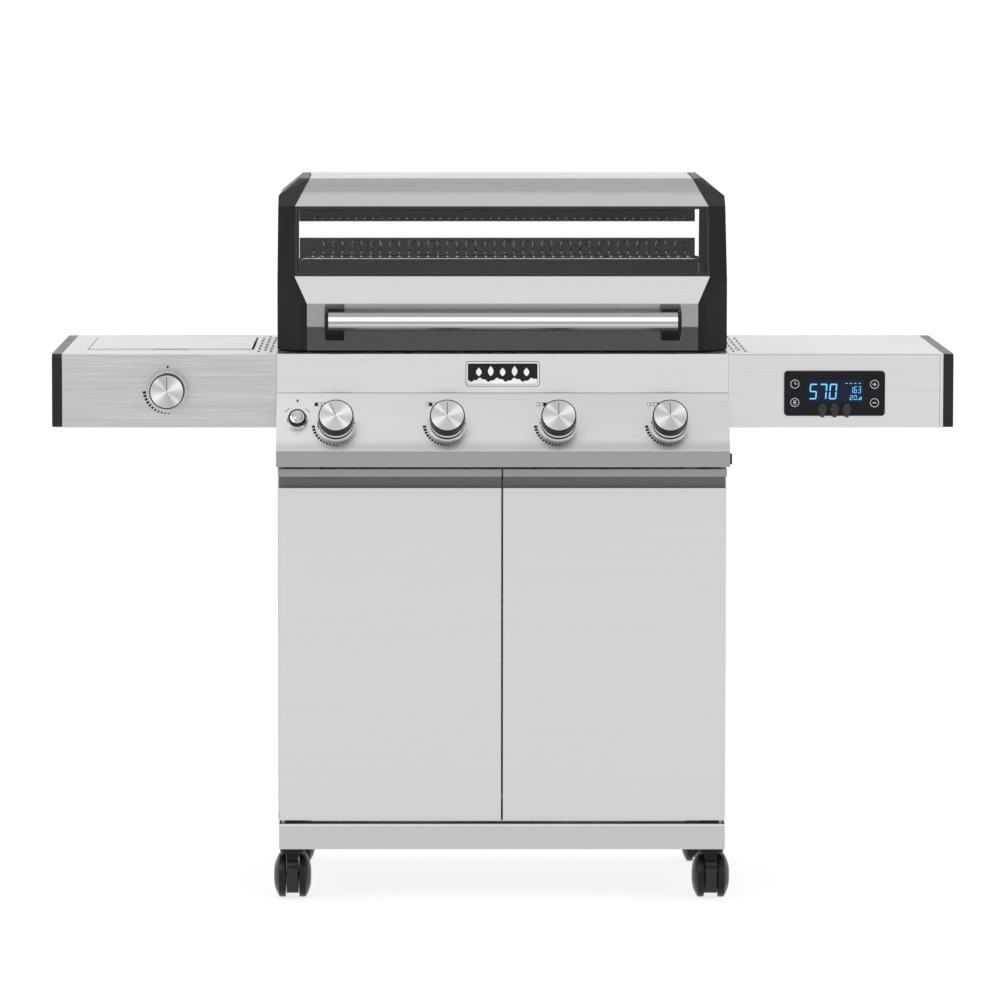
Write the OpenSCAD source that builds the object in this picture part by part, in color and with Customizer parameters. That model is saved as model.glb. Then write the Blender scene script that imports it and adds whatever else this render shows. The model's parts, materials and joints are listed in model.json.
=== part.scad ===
// Four-burner gas barbecue grill on casters, with a side burner and a probe thermometer.
// Millimetres, +Z up, front towards -Y. The modules are drawn with Y = 0 on the fascia's front
// face; place() then moves the grill so that its origin is the bottom centre of its box.

/* [Cabinet] */
// Width of the cabinet and the hood
cab_w = 722; // [680:1:870]
// Depth from the fascia's face to the back of the cabinet
cab_d = 455; // [430:1:560]
// Height of the side shelves' tops
shelf_z = 885; // [820:1:1070]
// Thickness of the folded sheet metal
sheet = 1.5; // [1:0.1:2]
// Height of the base frame's rails
rail_h = 41.5; // [36:0.5:60]
// Width of the base frame's rails
rail_w = 30; // [24:1:40]
// Height of the rear panel's upper edge
rear_panel_z = 635; // [400:1:640]

/* [Front] */
// Height of the fascia
fascia_h = 63; // [55:1:80]
// Height of the sloping control panel
panel_h = 88; // [80:1:110]
// How far the control panel's lower edge stands in front of the fascia
panel_run = 50; // [40:1:65]
// Height of the control panel's lower lip
lip_h = 26; // [20:1:40]

/* [Doors] */
// Thickness of a door
door_thick = 18; // [14:1:24]
// How far the door fronts stand behind the fascia
door_set = 30; // [26:1:40]
// Height of the pull lip along a door's top edge
pull_h = 12; // [8:1:20]
// Height of the finger recess under the pull lip
recess_h = 21; // [18:1:34]
// Clear gap around the doors
door_gap = 4; // [3:0.5:8]
// Diameter of the hinge pins
pin_d = 6; // [5:0.5:7]

/* [Shelves] */
// Length of a side shelf with its end cap
shelf_l = 359; // [330:1:440]
// Height of a side shelf's apron
shelf_h = 118; // [105:1:140]
// Length of the plastic end cap
cap_l = 16; // [10:1:24]
// Length of a vent slot
slot_l = 40; // [30:1:50]
// Width of a vent slot
slot_w = 3.5; // [2.5:0.5:5]

/* [Hood] */
// Gap between the shelf level and the hood's lower edge
hood_gap = 4; // [3:0.5:8]
// Height of the hood's upright front
hood_low_h = 75; // [70:1:100]
// Height of the window band
window_h = 110; // [90:1:150]
// Height of each of the two sloping metal bands
slope_h = 42; // [36:1:52]
// Wall of the cast end pieces
cast_wall = 4; // [3:0.5:5]
// Thickness of the window glass
glass_t = 4; // [3:0.5:5]
// Diameter of the handle tube
handle_d = 30; // [24:1:34]
// Length of the handle with its end plates
handle_l = 567; // [440:1:620]
// Distance from the hood's front to the handle's axis
handle_out = 50; // [42:1:64]

/* [Firebox] */
// Height of the firebox
firebox_h = 161; // [155:1:165]
// Wall of the firebox
firebox_wall = 3; // [2:0.5:4]
// How far the firebox's back rises above its rim
firebox_back_h = 164; // [150:1:170]
// Spacing of the burners and their knobs
burner_pitch = 177; // [150:1:180]
// Diameter of a burner tube
burner_d = 25; // [20:1:28]
// Thickness of a cooking grate
grate_t = 14; // [10:1:16]
// Width of a grate's bar
bar_w = 8; // [6:0.5:10]
// Gap between a grate's bars
bar_gap = 12; // [8:0.5:14]

/* [Controls] */
// Diameter of a knob
knob_d = 56; // [46:1:60]
// How far a knob's face stands out from its panel
knob_h = 35; // [30:1:42]
// How far a knob or the ignition button can be pushed in
push_in = 4; // [2:0.5:4]
// Diameter of a valve stem
stem_d = 8; // [6:0.5:9]
// Angle at which the first burner's knob was left
knob_turn = 24; // [0:1:90]
// Diameter of the ignition button
button_d = 24.5; // [20:0.5:28]
// Width of the thermometer's face
display_w = 161; // [150:1:180]
// Height of the thermometer's face
display_h = 72; // [64:1:84]

/* [Side burner] */
// Width of the side burner's lid
lid_w = 262; // [240:1:270]
// Depth of the side burner's lid
lid_d = 287; // [250:1:310]
// Depth of the lid's turned-down edge
lid_edge = 12; // [9:1:14]

/* [Casters] */
// Diameter of a wheel
wheel_d = 71.5; // [66:0.5:74]
// Width over a pair of wheels
wheel_pair_w = 60; // [52:1:66]
// Height of the casters from the ground to the base frame
caster_h = 83.5; // [82:0.5:92]
// Distance from the swivel axis to the axle
trail = 15; // [10:1:20]
// Diameter of the swivel stem
swivel_d = 11; // [9:0.5:12]

/* [Hidden] */
$fn = 48;

// Fits
run_clear = 0.05;
face_gap = 0.3;

// Colours
steel = [0.76, 0.76, 0.75];
black = [0.06, 0.06, 0.065];
iron = [0.12, 0.12, 0.12];
grey = [0.35, 0.35, 0.36];

// Cabinet
half_w = cab_w / 2;
panel_top_z = shelf_z - fascia_h;
lip_top_z = panel_top_z - panel_h;
lip_bottom_z = lip_top_z - lip_h;
frame_front = 20;
frame_top_z = caster_h + rail_h;
floor_z = frame_top_z + sheet;
side_front = door_set + door_thick + 4;
side_back = cab_d - sheet;
rim_z = shelf_z + 1;
side_top_z = rim_z - sheet;

// Doors
door_top_z = lip_bottom_z - 2 * door_gap;
door_bottom_z = frame_top_z + door_gap;
door_face_z = door_top_z - pull_h - recess_h;
door_back = door_set + door_thick;
door_edge_x = half_w - 2;
door_pin_x = door_edge_x - 7;
door_pin_y = door_set + door_thick / 2;
tab_z = door_top_z + door_gap - 1;
tab_t = 3;

// Control panel: lean is its angle from upright, and slope_l its length down the slope
lean = atan(panel_run / panel_h);
slope_l = norm([panel_run, panel_h]);
knob_down = 0.545 * slope_l;
button_down = 0.47 * slope_l;
button_x = -burner_pitch * 1.85;
front_out = knob_down * sin(lean) + knob_h * cos(lean) + knob_d / 2 * sin(lean);
y0 = (front_out - cab_d) / 2;

// Valves: distances along the knob's axis, outward positive
valve_front = -8;
valve_back = -44;
valve_out = -30;
valve_r = 13;
bezel_t = 4;
knob_back = bezel_t + push_in + face_gap;
stem_end = 25;
burner_y = valve_out * -cos(lean) - knob_down * sin(lean);
burner_z = panel_top_z - knob_down * cos(lean) + valve_out * sin(lean);

// Firebox
firebox_x = half_w - 28;
firebox_front = 45;
firebox_back = cab_d - 35;
firebox_z = rim_z - firebox_h;
grate_z = rim_z - 8;
tamer_z = burner_z + 46;
ledge_w = 12;
rail_x = firebox_x - 44;
tray_depth = 18;
tray_z = firebox_z - tray_depth - 4;
cup_r = 42;
cup_h = 46;
grate_gap = 3;

// Hood outline, as (depth, height) points from the lower front edge over the top to the back
hood_z = shelf_z + hood_gap;
hood_front = 20;
hinge_r = 16;
hinge_y = cab_d - 25;
hinge_z = hood_z + hinge_r;
hood_top_z = hood_z + hood_low_h + slope_h + window_h + slope_h;
hood_low = [hood_front, hood_z];
hood_knee = [hood_front, hood_z + hood_low_h];
window_low = hood_knee + [40, slope_h];
window_high = window_low + [0.5 * window_h, window_h];
hood_brow = window_high + [75, slope_h];
hood_rear_top = [firebox_back - 20, hood_top_z + 2];
hood_rear_bevel = [firebox_back, hood_top_z - 8];
hood_rear_low = [firebox_back, rim_z + firebox_back_h + 27];
hood_side = [hood_low, hood_knee, window_low, window_high, hood_brow, hood_rear_top,
    hood_rear_bevel, [hinge_y + hinge_r, hinge_z], [hinge_y, hood_z]];
window_x = half_w - 27;
low_x = half_w - 48;
bevel = 36.5;
top_x = half_w - 49.5;
slit_w = 6;
slit_z = [hood_z + 127, hood_z + 209];
// Front view of a cast end's outer shape, with its upper outer corner cut off
end_view = [[0, -10], [0, hood_top_z + 40], [half_w - 81, hood_top_z + 40],
    [half_w, hood_top_z - 26.5], [half_w, -10]];
handle_y = hood_front - handle_out;
handle_z = hood_z + 50;
bracket_w = 30;
plate_t = 5;

// Shelves
shelf_back = cab_d - 5;
shelf_low_z = shelf_z - shelf_h;
shelf_end_x = half_w + shelf_l - cap_l;
slot_rows = 6;
slot_pitch = (shelf_back - 80) / slot_rows;
slot_line = 10;

// Side burner
lid_x = -(half_w + shelf_l / 2) + 6;
lid_front = 100;
lid_z = shelf_z + 2;
lid_gap = 3;
notch_w = 58;
lid_pin_r = 2.5;
lid_pin_y = lid_front + lid_d - 4;
lid_pin_z = lid_z - 8;
bowl_z = lid_z - lid_edge - 5;
bowl_h = 26;
side_mid_y = lid_front + 10 + (lid_d - 40) / 2;
side_knob_x = -(half_w + 174);
side_knob_z = shelf_z - 58;
line_y = 34;
line_z = shelf_low_z + 30;

// Thermometer
display_x = half_w + 169;
display_z = shelf_z - 63;
display_t = 4;
jack_pitch = 19.5;
cover_r = 7;

// Casters
axle_r = 4;
wheel_r = wheel_d / 2;
caster_x = half_w - 23;
caster_y = [frame_front + 26, cab_d - trail - wheel_r - 1];
web_w = 19;
socket_h = 30;

function unit(v) = v / norm(v);
function left_of(v) = [-v[1], v[0]];
function right_of(v) = [v[1], -v[0]];
function mitre(a, b) = (a + b) / (1 + a * b);
// A strip of thickness t on the left of an open path, with mitred corners
function strip(p, t) =
    let (n = len(p), d = [for (i = [0:n - 2]) left_of(unit(p[i + 1] - p[i]))])
    concat(p, [for (i = [n - 1:-1:0])
        i == 0 ? p[0] + t * d[0] : i == n - 1 ? p[i] + t * d[i - 1] :
        p[i] + t * mitre(d[i - 1], d[i])]);
// A clockwise outline drawn in by t
function inset(p, t) =
    let (n = len(p), d = [for (i = [0:n - 1]) right_of(unit(p[(i + 1) % n] - p[i]))])
    [for (i = [0:n - 1]) p[i] + t * mitre(d[(i + n - 1) % n], d[i])];
function knob_x(i) = (i - 2.5) * burner_pitch;

// Extrusions of (depth, height) outlines along X, and of (x, height) outlines along Y
module along_x(x0, x1) {
    translate([x0, 0, 0]) rotate([90, 0, 90]) linear_extrude(x1 - x0) children();
}
module along_y(y_from, y_to) {
    translate([0, y_to, 0]) rotate([90, 0, 0]) linear_extrude(y_to - y_from) children();
}
module box(low, high) {
    translate(low) cube(high - low);
}
module rod_x(x0, x1, y, z, r) {
    translate([x0, y, z]) rotate([0, 90, 0]) cylinder(r = r, h = x1 - x0);
}
module rod_y(x, y_from, y_to, z, r) {
    translate([x, y_from, z]) rotate([-90, 0, 0]) cylinder(r = r, h = y_to - y_from);
}
// A straight tube between two points
module rod(p, q, r) {
    d = q - p;
    translate(p) rotate([0, acos(d[2] / norm(d)), atan2(d[1], d[0])])
        cylinder(r = r, h = norm(d));
}
module both_sides() {
    children();
    mirror([1, 0, 0]) children();
}
module rounded(size, r) {
    for (x = [-1, 1], y = [-1, 1])
        translate([x * (size[0] / 2 - r), y * (size[1] / 2 - r)]) circle(r);
    square([size[0] - 2 * r, size[1]], center = true);
    square([size[0], size[1] - 2 * r], center = true);
}
// Puts children on the sloping panel, with Z along its outward normal and Y up the slope
module on_panel(x, down) {
    translate([x, -down * sin(lean), panel_top_z - down * cos(lean)])
        rotate([90 - lean, 0, 0]) children();
}
// The same for the side burner's knob on the left shelf's apron
module on_apron() {
    translate([side_knob_x, 0, side_knob_z]) rotate([90, 0, 0]) children();
}
module place() {
    translate([0, y0, 0]) children();
}

// ---- Cabinet ----
// A ring of downward-open channel with a solid corner over each caster
module base_frame() {
    color(steel) difference() {
        union() {
            difference() {
                box([-half_w + 2, frame_front, caster_h], [half_w - 2, side_back + sheet, frame_top_z]);
                box([-half_w + 2 + rail_w, frame_front + rail_w, 0],
                    [half_w - 2 - rail_w, side_back + sheet - rail_w, frame_top_z + 1]);
                frame_channel();
            }
            for (y = caster_y) both_sides()
                box([caster_x - 20, max(y - 20, frame_front + 1), caster_h],
                    [caster_x + 20, min(y + 20, side_back), frame_top_z - 1]);
        }
        for (y = caster_y) both_sides()
            translate([caster_x, y, caster_h - 1])
                cylinder(r = swivel_d / 2 + run_clear, h = socket_h + 1);
        both_sides() translate([door_pin_x, door_pin_y, frame_top_z - 8])
            cylinder(d = pin_d, h = 10);
    }
}
module frame_channel() {
    difference() {
        box([-half_w + 4, frame_front + 2, 0], [half_w - 4, side_back + sheet - 2, frame_top_z - 2]);
        box([-half_w + rail_w, frame_front + rail_w - 2, -1],
            [half_w - rail_w, side_back + sheet - rail_w + 2, frame_top_z]);
    }
}
module bottom_panel() {
    color(grey) union() {
        box([-half_w + 3, side_front, frame_top_z], [half_w - 3, side_back, floor_z]);
        box([-half_w + 3, side_back - sheet, floor_z], [half_w - 3, side_back, floor_z + 12]);
    }
}
// Each side is a pan with its edges turned in, and a tab at the front that takes a door's pin
module side_panels() {
    color(steel) both_sides() difference() {
        union() {
            box([half_w - sheet, side_front, floor_z], [half_w, side_back, side_top_z]);
            box([half_w - 25, side_front, floor_z + 14], [half_w, side_front + sheet, tab_z + tab_t]);
            box([half_w - 25, side_back - sheet, floor_z + 14], [half_w, side_back, side_top_z]);
            box([half_w - 25, side_front, tab_z], [half_w, side_front + 40, tab_z + tab_t]);
            box([half_w - 20, door_pin_y - 8, tab_z], [half_w, side_front + 1, tab_z + tab_t]);
        }
        translate([door_pin_x, door_pin_y, tab_z - 1]) cylinder(d = pin_d, h = tab_t + 2);
    }
}
module rear_panel() {
    color(steel) difference() {
        box([-half_w + 2, side_back, floor_z - sheet], [half_w - 2, side_back + sheet, rear_panel_z]);
        // louvres
        for (i = [0:4], x = [-1, 1])
            box([x * 150 - 60, side_back - 1, 220 + i * 24], [x * 150 + 60, cab_d + 1, 226 + i * 24]);
        translate([230, cab_d + 1, 480]) rotate([90, 0, 0]) cylinder(r = 22, h = 6);
    }
}
module hinge_pins() {
    color("silver") both_sides() {
        translate([door_pin_x, door_pin_y, frame_top_z - 8]) cylinder(d = pin_d, h = 24);
        translate([door_pin_x, door_pin_y, door_top_z - 10])
            cylinder(d = pin_d, h = tab_z + tab_t + 3 - door_top_z + 10);
        rod_x(firebox_x - 15, half_w - cast_wall - 3, hinge_y, hinge_z, 4);
    }
    color("silver") for (s = [-1, 1])
        rod_x(lid_x + s * (lid_w / 2 + 1) - 6, lid_x + s * (lid_w / 2 + 1) + 6, lid_pin_y,
            lid_pin_z, lid_pin_r);
}
module door_catches() {
    color("lightgray") both_sides() union() {
        box([6, door_back + 0.5, floor_z + 24], [36, door_back + 16, floor_z + 36]);
        box([6, side_front + 8, floor_z], [36, side_front + 10, floor_z + 30]);
    }
}

// ---- Doors ----
// The left door: a folded front with a finger recess and a pull lip, closed behind by a liner
module door() {
    color(steel) difference() {
        union() {
            along_x(-door_edge_x, -1.6) polygon(strip([[door_back, door_bottom_z],
                [door_set, door_bottom_z], [door_set, door_face_z], [door_back - 3, door_face_z],
                [door_back - 3, door_top_z - sheet], [sheet, door_top_z - sheet],
                [sheet, door_top_z - pull_h]], -sheet));
            for (x = [-door_edge_x, -1.6 - sheet])
                box([x, door_set, door_bottom_z], [x + sheet, door_back, door_face_z]);
            box([-door_edge_x, door_back - sheet, door_bottom_z], [-1.6, door_back, door_top_z]);
            door_boss(door_bottom_z, 14);
            door_boss(door_top_z - pull_h, pull_h);
        }
        translate([-door_pin_x, door_pin_y, 0])
            cylinder(r = pin_d / 2 + run_clear, h = door_bottom_z + 30);
        translate([-door_pin_x, door_pin_y, door_top_z - pull_h - 1])
            cylinder(r = pin_d / 2 + run_clear, h = pull_h + 2);
    }
}
module door_boss(z, h) {
    translate([-door_pin_x, door_pin_y, z]) cylinder(r = pin_d / 2 + 3, h = h);
}
module left_door() { door(); }
module right_door() { mirror([1, 0, 0]) door(); }

// ---- Firebox and what lies in it ----
module firebox() {
    color(black) difference() {
        union() {
            firebox_shell();
            firebox_rim();
            for (z = [grate_z - 3, tamer_z - 3]) firebox_ledge(z);
            box([-firebox_x, firebox_back - firebox_wall, rim_z - 1],
                [firebox_x, firebox_back, rim_z + firebox_back_h]);
            both_sides() {
                rod_x(firebox_x - 15, firebox_x, hinge_y, hinge_z, hinge_r - 3);
                box([firebox_x - 15, firebox_back - firebox_wall, rim_z - 20],
                    [firebox_x, hinge_y, hinge_z + hinge_r - 3]);
                tray_rail();
            }
        }
        both_sides() rod_x(firebox_x - 16, firebox_x + 1, hinge_y, hinge_z, 4);
        box([firebox_x - slit_w, firebox_back - firebox_wall - 1, slit_z[0]],
            [firebox_x + 1, firebox_back + 1, rim_z + firebox_back_h + 1]);
        for (i = [1:4]) rod_y(knob_x(i), firebox_front - 1, firebox_front + firebox_wall + 1,
            burner_z, burner_d / 2);
    }
}
module firebox_shell() {
    difference() {
        box([-firebox_x, firebox_front, firebox_z], [firebox_x, firebox_back, rim_z]);
        box([-firebox_x + firebox_wall, firebox_front + firebox_wall, firebox_z + firebox_wall],
            [firebox_x - firebox_wall, firebox_back - firebox_wall, rim_z + 1]);
        box([-rail_x + 14, firebox_front + 40, firebox_z - 1],
            [rail_x - 14, firebox_back - 36, firebox_z + firebox_wall + 1]);
    }
}
module firebox_rim() {
    difference() {
        box([-half_w, firebox_front - 1, side_top_z], [half_w, side_back, rim_z]);
        box([-firebox_x, firebox_front, 0], [firebox_x, firebox_back, rim_z + 1]);
    }
}
module firebox_ledge(z) {
    for (y = [firebox_front + 1, firebox_back - firebox_wall - ledge_w])
        box([-firebox_x + 1, y, z], [firebox_x - 1, y + ledge_w + 2, z + 3]);
}
module tray_rail() {
    box([rail_x + 3, firebox_front + 30, tray_z - face_gap - sheet],
        [rail_x + 3 + sheet, firebox_back, firebox_z + 1]);
    box([rail_x - 14, firebox_front + 30, tray_z - face_gap - sheet],
        [rail_x + 3 + sheet, firebox_back, tray_z - face_gap]);
}
// The tray slides out to the rear, and drains through a hole into the cup under it
module grease_tray() {
    color("gainsboro") difference() {
        union() {
            box([-rail_x, firebox_front + 34, tray_z], [rail_x, cab_d - 12, tray_z + tray_depth]);
            box([-110, cab_d - 13, tray_z], [110, cab_d - 1, tray_z + sheet]);
            box([-110, cab_d - 2.5, tray_z], [110, cab_d - 1, tray_z + tray_depth - 2]);
        }
        box([-rail_x + sheet, firebox_front + 34 + sheet, tray_z + sheet],
            [rail_x - sheet, cab_d - 12 - sheet, tray_z + tray_depth + 1]);
        translate([0, cab_d / 2, tray_z - 1]) cylinder(r = 12, h = 5);
    }
}
module grease_cup() {
    color("silver") translate([0, cab_d / 2, tray_z - cup_h]) difference() {
        cylinder(r = cup_r, h = cup_h);
        translate([0, 0, sheet]) cylinder(r = cup_r - sheet, h = cup_h);
    }
}
module burner_tubes() {
    color("silver") for (i = [1:4]) {
        difference() {
            rod_y(knob_x(i), burner_y + 26, firebox_back - 12, burner_z, burner_d / 2);
            rod_y(knob_x(i), burner_y + 25, firebox_back - 14, burner_z, burner_d / 2 - 2);
        }
        // the spark electrode on its bracket
        translate([0, 0, burner_z]) {
            rod([knob_x(i) + burner_d / 2 + 5, firebox_front + 40, -4],
                [knob_x(i) + burner_d / 2 + 5, firebox_front + 40, 18], 2);
            box([knob_x(i) + burner_d / 2 - 1.5, firebox_front + 36, -8],
                [knob_x(i) + burner_d / 2 + 9, firebox_front + 44, -4]);
        }
    }
}
module flame_tamers() {
    color("silver") for (i = [1:4])
        translate([knob_x(i), 0, 0]) along_y(firebox_front + 4, firebox_back - 4)
            polygon(strip([[-45, tamer_z + sheet], [0, tamer_z + 32], [45, tamer_z + sheet]], -sheet));
}
// One grate: a flat plate cut into bars that run from front to back
module grate() {
    w = firebox_x - firebox_wall - 2 * grate_gap;
    bars = floor((w - bar_w) / (bar_w + bar_gap));
    pitch = (w - bar_w) / bars;
    y_low = firebox_front + firebox_wall + grate_gap;
    y_high = firebox_back - firebox_wall - grate_gap;
    color(iron) translate([-w - grate_gap / 2, 0, grate_z]) linear_extrude(grate_t) difference() {
        translate([0, y_low]) square([w, y_high - y_low]);
        for (i = [0:bars - 1], half = [0, 1])
            translate([bar_w + i * pitch, y_low + 12 + half * ((y_high - y_low) / 2 - 8)])
                square([pitch - bar_w, (y_high - y_low) / 2 - 16]);
    }
}
module left_cooking_grate() { grate(); }
module right_cooking_grate() { mirror([1, 0, 0]) grate(); }
// Wires that run from front to back and turn up at the rear, on cross rods with a leg at each end
module warming_rack() {
    wires = 40;
    pitch = 15.8;
    x_end = pitch * (wires - 1) / 2;
    leg_x = firebox_x - 2;
    z = rim_z + 145;
    y_low = firebox_back - 150;
    y_high = firebox_back - 40;
    color("silver") {
        for (i = [0:wires - 1]) {
            x = -x_end + i * pitch;
            rod_y(x, y_low, y_high, z, 1.5, $fn = 8);
            translate([x, y_high - 1.5, z]) cylinder(r = 1.5, h = 15, $fn = 8);
        }
        for (y = [y_low, (y_low + y_high) / 2]) {
            rod_x(-leg_x, leg_x, y, z - 3, 2.5);
            both_sides() translate([leg_x, y, rim_z + face_gap])
                cylinder(r = 2.5, h = z - 3 - rim_z - face_gap);
        }
        rod_x(-x_end - 2, x_end + 2, y_high - 1.5, z + 15, 2.5);
    }
}

// ---- Gas train ----
module gas_manifold() {
    pipe_r = 8;
    line_r = 5;
    drop = valve_r + pipe_r + face_gap;
    pipe_y = burner_y - drop * sin(lean);
    pipe_z = burner_z - drop * cos(lean);
    turn_x = knob_x(1) - valve_r - 18;
    color("goldenrod") {
        rod_x(turn_x, half_w - 30, pipe_y, pipe_z, pipe_r);
        translate([half_w - 40, pipe_y, pipe_z - 26]) cylinder(r = 9.5, h = 26);
        for (p = [[turn_x, pipe_y, pipe_z], [turn_x, line_y, line_z], [side_knob_x, line_y, line_z]])
            translate(p) sphere(r = line_r + 1.5);
        rod([turn_x, pipe_y, pipe_z], [turn_x, line_y, line_z], line_r);
        rod_x(side_knob_x, turn_x, line_y, line_z, line_r);
        rod([side_knob_x, line_y, line_z],
            [side_knob_x, line_y, side_knob_z - valve_r - face_gap], line_r);
    }
}
// A valve body behind its panel: bored for the stem, with an outlet that feeds the burner
module valve() {
    difference() {
        union() {
            translate([0, 0, valve_back]) cylinder(r = valve_r, h = valve_front - valve_back);
            translate([0, 0, valve_front - 3]) cylinder(r = valve_r + 4, h = 3);
        }
        translate([0, 0, valve_back + 3])
            cylinder(r = stem_d / 2 + run_clear, h = valve_front - valve_back);
    }
}
module gas_valves() {
    color("goldenrod") {
        for (i = [1:4]) {
            on_panel(knob_x(i), knob_down) valve();
            rod_y(knob_x(i), burner_y + 12.5, burner_y + 36, burner_z, 5);
        }
        on_apron() {
            valve();
            translate([0, 0, valve_back - 14]) cylinder(r = 5, h = 15);
        }
    }
}
module stem() {
    color("silver") translate([0, 0, valve_back + 4])
        cylinder(r = stem_d / 2, h = stem_end - valve_back - 4);
}
module knob() {
    r = knob_d / 2;
    color("silver") difference() {
        rotate_extrude() polygon([[0, knob_back], [r - 1, knob_back], [r, knob_back + 1],
            [r, knob_h - 3], [r - 1.5, knob_h], [0, knob_h]]);
        translate([0, 0, knob_back - 1])
            cylinder(r = stem_d / 2 + run_clear, h = stem_end + push_in + face_gap - knob_back + 1);
        translate([-1, r - 12, knob_h - 0.6]) cube([2, 8, 2]);
    }
}
module valve_stem(i) { on_panel(knob_x(i), knob_down) stem(); }
module burner_knob(i) {
    on_panel(knob_x(i), knob_down) rotate([0, 0, i == 1 ? knob_turn : 0]) knob();
}
module side_valve_stem() { on_apron() stem(); }
module side_knob() { on_apron() knob(); }
module knob_bezel() {
    r = knob_d / 2 + 2;
    rotate_extrude() polygon([[stem_d / 2 + 6, 0], [r, 0], [r, bezel_t - 1.5], [r - 2, bezel_t],
        [stem_d / 2 + 6, bezel_t]]);
}
module control_bezels() {
    color("silver") {
        for (i = [1:4]) on_panel(knob_x(i), knob_down) knob_bezel();
        on_apron() knob_bezel();
        // the ignition button's collar, with its switch housing behind the panel
        on_panel(button_x, button_down) difference() {
            union() {
                rotate_extrude() polygon([[0, -30], [button_d / 2 + 1, -30], [button_d / 2 + 1, 0],
                    [button_d / 2 + 4, 0], [button_d / 2 + 4, 3], [button_d / 2 + 2, 5], [0, 5]]);
            }
            translate([0, 0, -26]) cylinder(r = button_d / 2 - 2 + run_clear, h = 40);
        }
    }
}
// A stepped push cap on a plunger
module ignition_button() {
    r = button_d / 2;
    color("silver") on_panel(button_x, button_down) rotate_extrude()
        polygon([[0, -20], [r - 2, -20], [r - 2, 5 + push_in + face_gap],
            [r, 5 + push_in + face_gap], [r, 12], [r - 1, 13.5], [r - 4, 14], [r - 5, 16],
            [0, 16.5]]);
}

// ---- Hood ----
// The front view of the space left between the two cast ends
module between_ends() {
    half = [[low_x, hood_z - 1], [low_x, hood_knee[1]], [window_x, window_low[1]],
        [window_x, window_high[1]], [top_x, hood_brow[1]], [top_x, hood_top_z + 20]];
    polygon(concat(half, [for (i = [len(half) - 1:-1:0]) [-half[i][0], half[i][1]]]));
}
module hood_front_panel() {
    lip = [hood_front + 12, hood_z];
    color(steel) intersection() {
        along_x(-half_w, half_w) polygon(strip([lip, hood_low, hood_knee, window_low], -sheet));
        along_y(0, cab_d) between_ends();
    }
}
module hood_shell() {
    color(steel) difference() {
        intersection() {
            along_x(-window_x, window_x) polygon(strip([window_high, hood_brow, hood_rear_top,
                hood_rear_bevel, hood_rear_low], -sheet));
            along_y(0, cab_d) between_ends();
        }
        // slit at the right-hand end of the back
        box([window_x - slit_w - 1, firebox_back - 10, slit_z[0]],
            [window_x + 1, firebox_back + 1, slit_z[1]]);
    }
}
module hood_window() {
    run = unit(window_high - window_low);
    sink = 1.5 * right_of(run);
    color([0.5, 0.6, 0.65, 0.3]) along_x(-window_x + 1, window_x - 1)
        polygon(strip([window_low + 3 * run + sink, window_high - 3 * run + sink], -glass_t));
}
// A hollow cast end: a side wall and a rim that follows the hood's outline, its lower front
// corner bevelled, and a bored boss for the hinge pin
module hood_casting() {
    corner = [[low_x - 30, hood_front], [half_w - bevel, hood_front],
        [half_w, hood_front + bevel], [half_w, cab_d + 60], [low_x - 30, cab_d + 60]];
    inner = inset([for (i = [len(corner) - 1:-1:0]) corner[i]], cast_wall);
    color(black) difference() {
        union() {
            difference() {
                intersection() {
                    along_x(low_x, half_w) {
                        polygon(hood_side);
                        translate([hinge_y, hinge_z]) circle(hinge_r);
                    }
                    linear_extrude(2 * hood_top_z) polygon(corner);
                    along_y(0, cab_d) polygon(end_view);
                    difference() {
                        box([low_x, 0, 0], [half_w, cab_d, 2 * hood_top_z]);
                        along_y(-1, cab_d + 1) between_ends();
                    }
                }
                intersection() {
                    along_x(low_x - 5, half_w) {
                        polygon(inset(hood_side, cast_wall));
                        translate([hood_front + cast_wall, hood_z - 5])
                            square([hinge_y - hood_front - 2 * cast_wall, 12]);
                    }
                    linear_extrude(2 * hood_top_z) polygon(inset(corner, -cast_wall));
                    along_y(0, cab_d) polygon(inset(end_view, cast_wall));
                }
                box([low_x - 1, hood_front + 46, 0], [window_x, cab_d, window_high[1]]);
            }
            rod_x(window_x + 3, half_w - 1, hinge_y, hinge_z, hinge_r);
        }
        rod_x(low_x, half_w - cast_wall, hinge_y, hinge_z, 4 + run_clear);
    }
}
module hood_castings() { both_sides() hood_casting(); }
module hood_handle() {
    color("silver") difference() {
        rod_x(-handle_l / 2 + plate_t, handle_l / 2 - plate_t, handle_y, handle_z, handle_d / 2);
        rod_x(-handle_l / 2, handle_l / 2, handle_y, handle_z, handle_d / 2 - 2);
    }
}
module handle_brackets() {
    r = handle_d / 2;
    color(black) both_sides() {
        // the arm lies behind the tube
        along_x(handle_l / 2 - bracket_w, handle_l / 2 - plate_t) difference() {
            bracket_outline();
            translate([handle_y, handle_z]) circle(r);
            translate([handle_y - 2 * r, handle_z - 2 * r]) square([2 * r + 8, 4 * r]);
        }
        along_x(handle_l / 2 - plate_t, handle_l / 2) bracket_outline();
    }
}
module bracket_outline() {
    r = handle_d / 2 + 2;
    translate([handle_y, handle_z]) circle(r);
    polygon([[handle_y, handle_z + r], [handle_y + 24, handle_z + 23],
        [hood_front, handle_z + 24], [hood_front, handle_z - 34], [handle_y + 22, handle_z - 24],
        [handle_y, handle_z - r]]);
}

// ---- Fronts ----
module fascia() {
    color(steel) along_x(-half_w, half_w) polygon(strip([[firebox_front - 2, shelf_z],
        [0, shelf_z], [0, panel_top_z + 0.5]], sheet));
}
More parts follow.
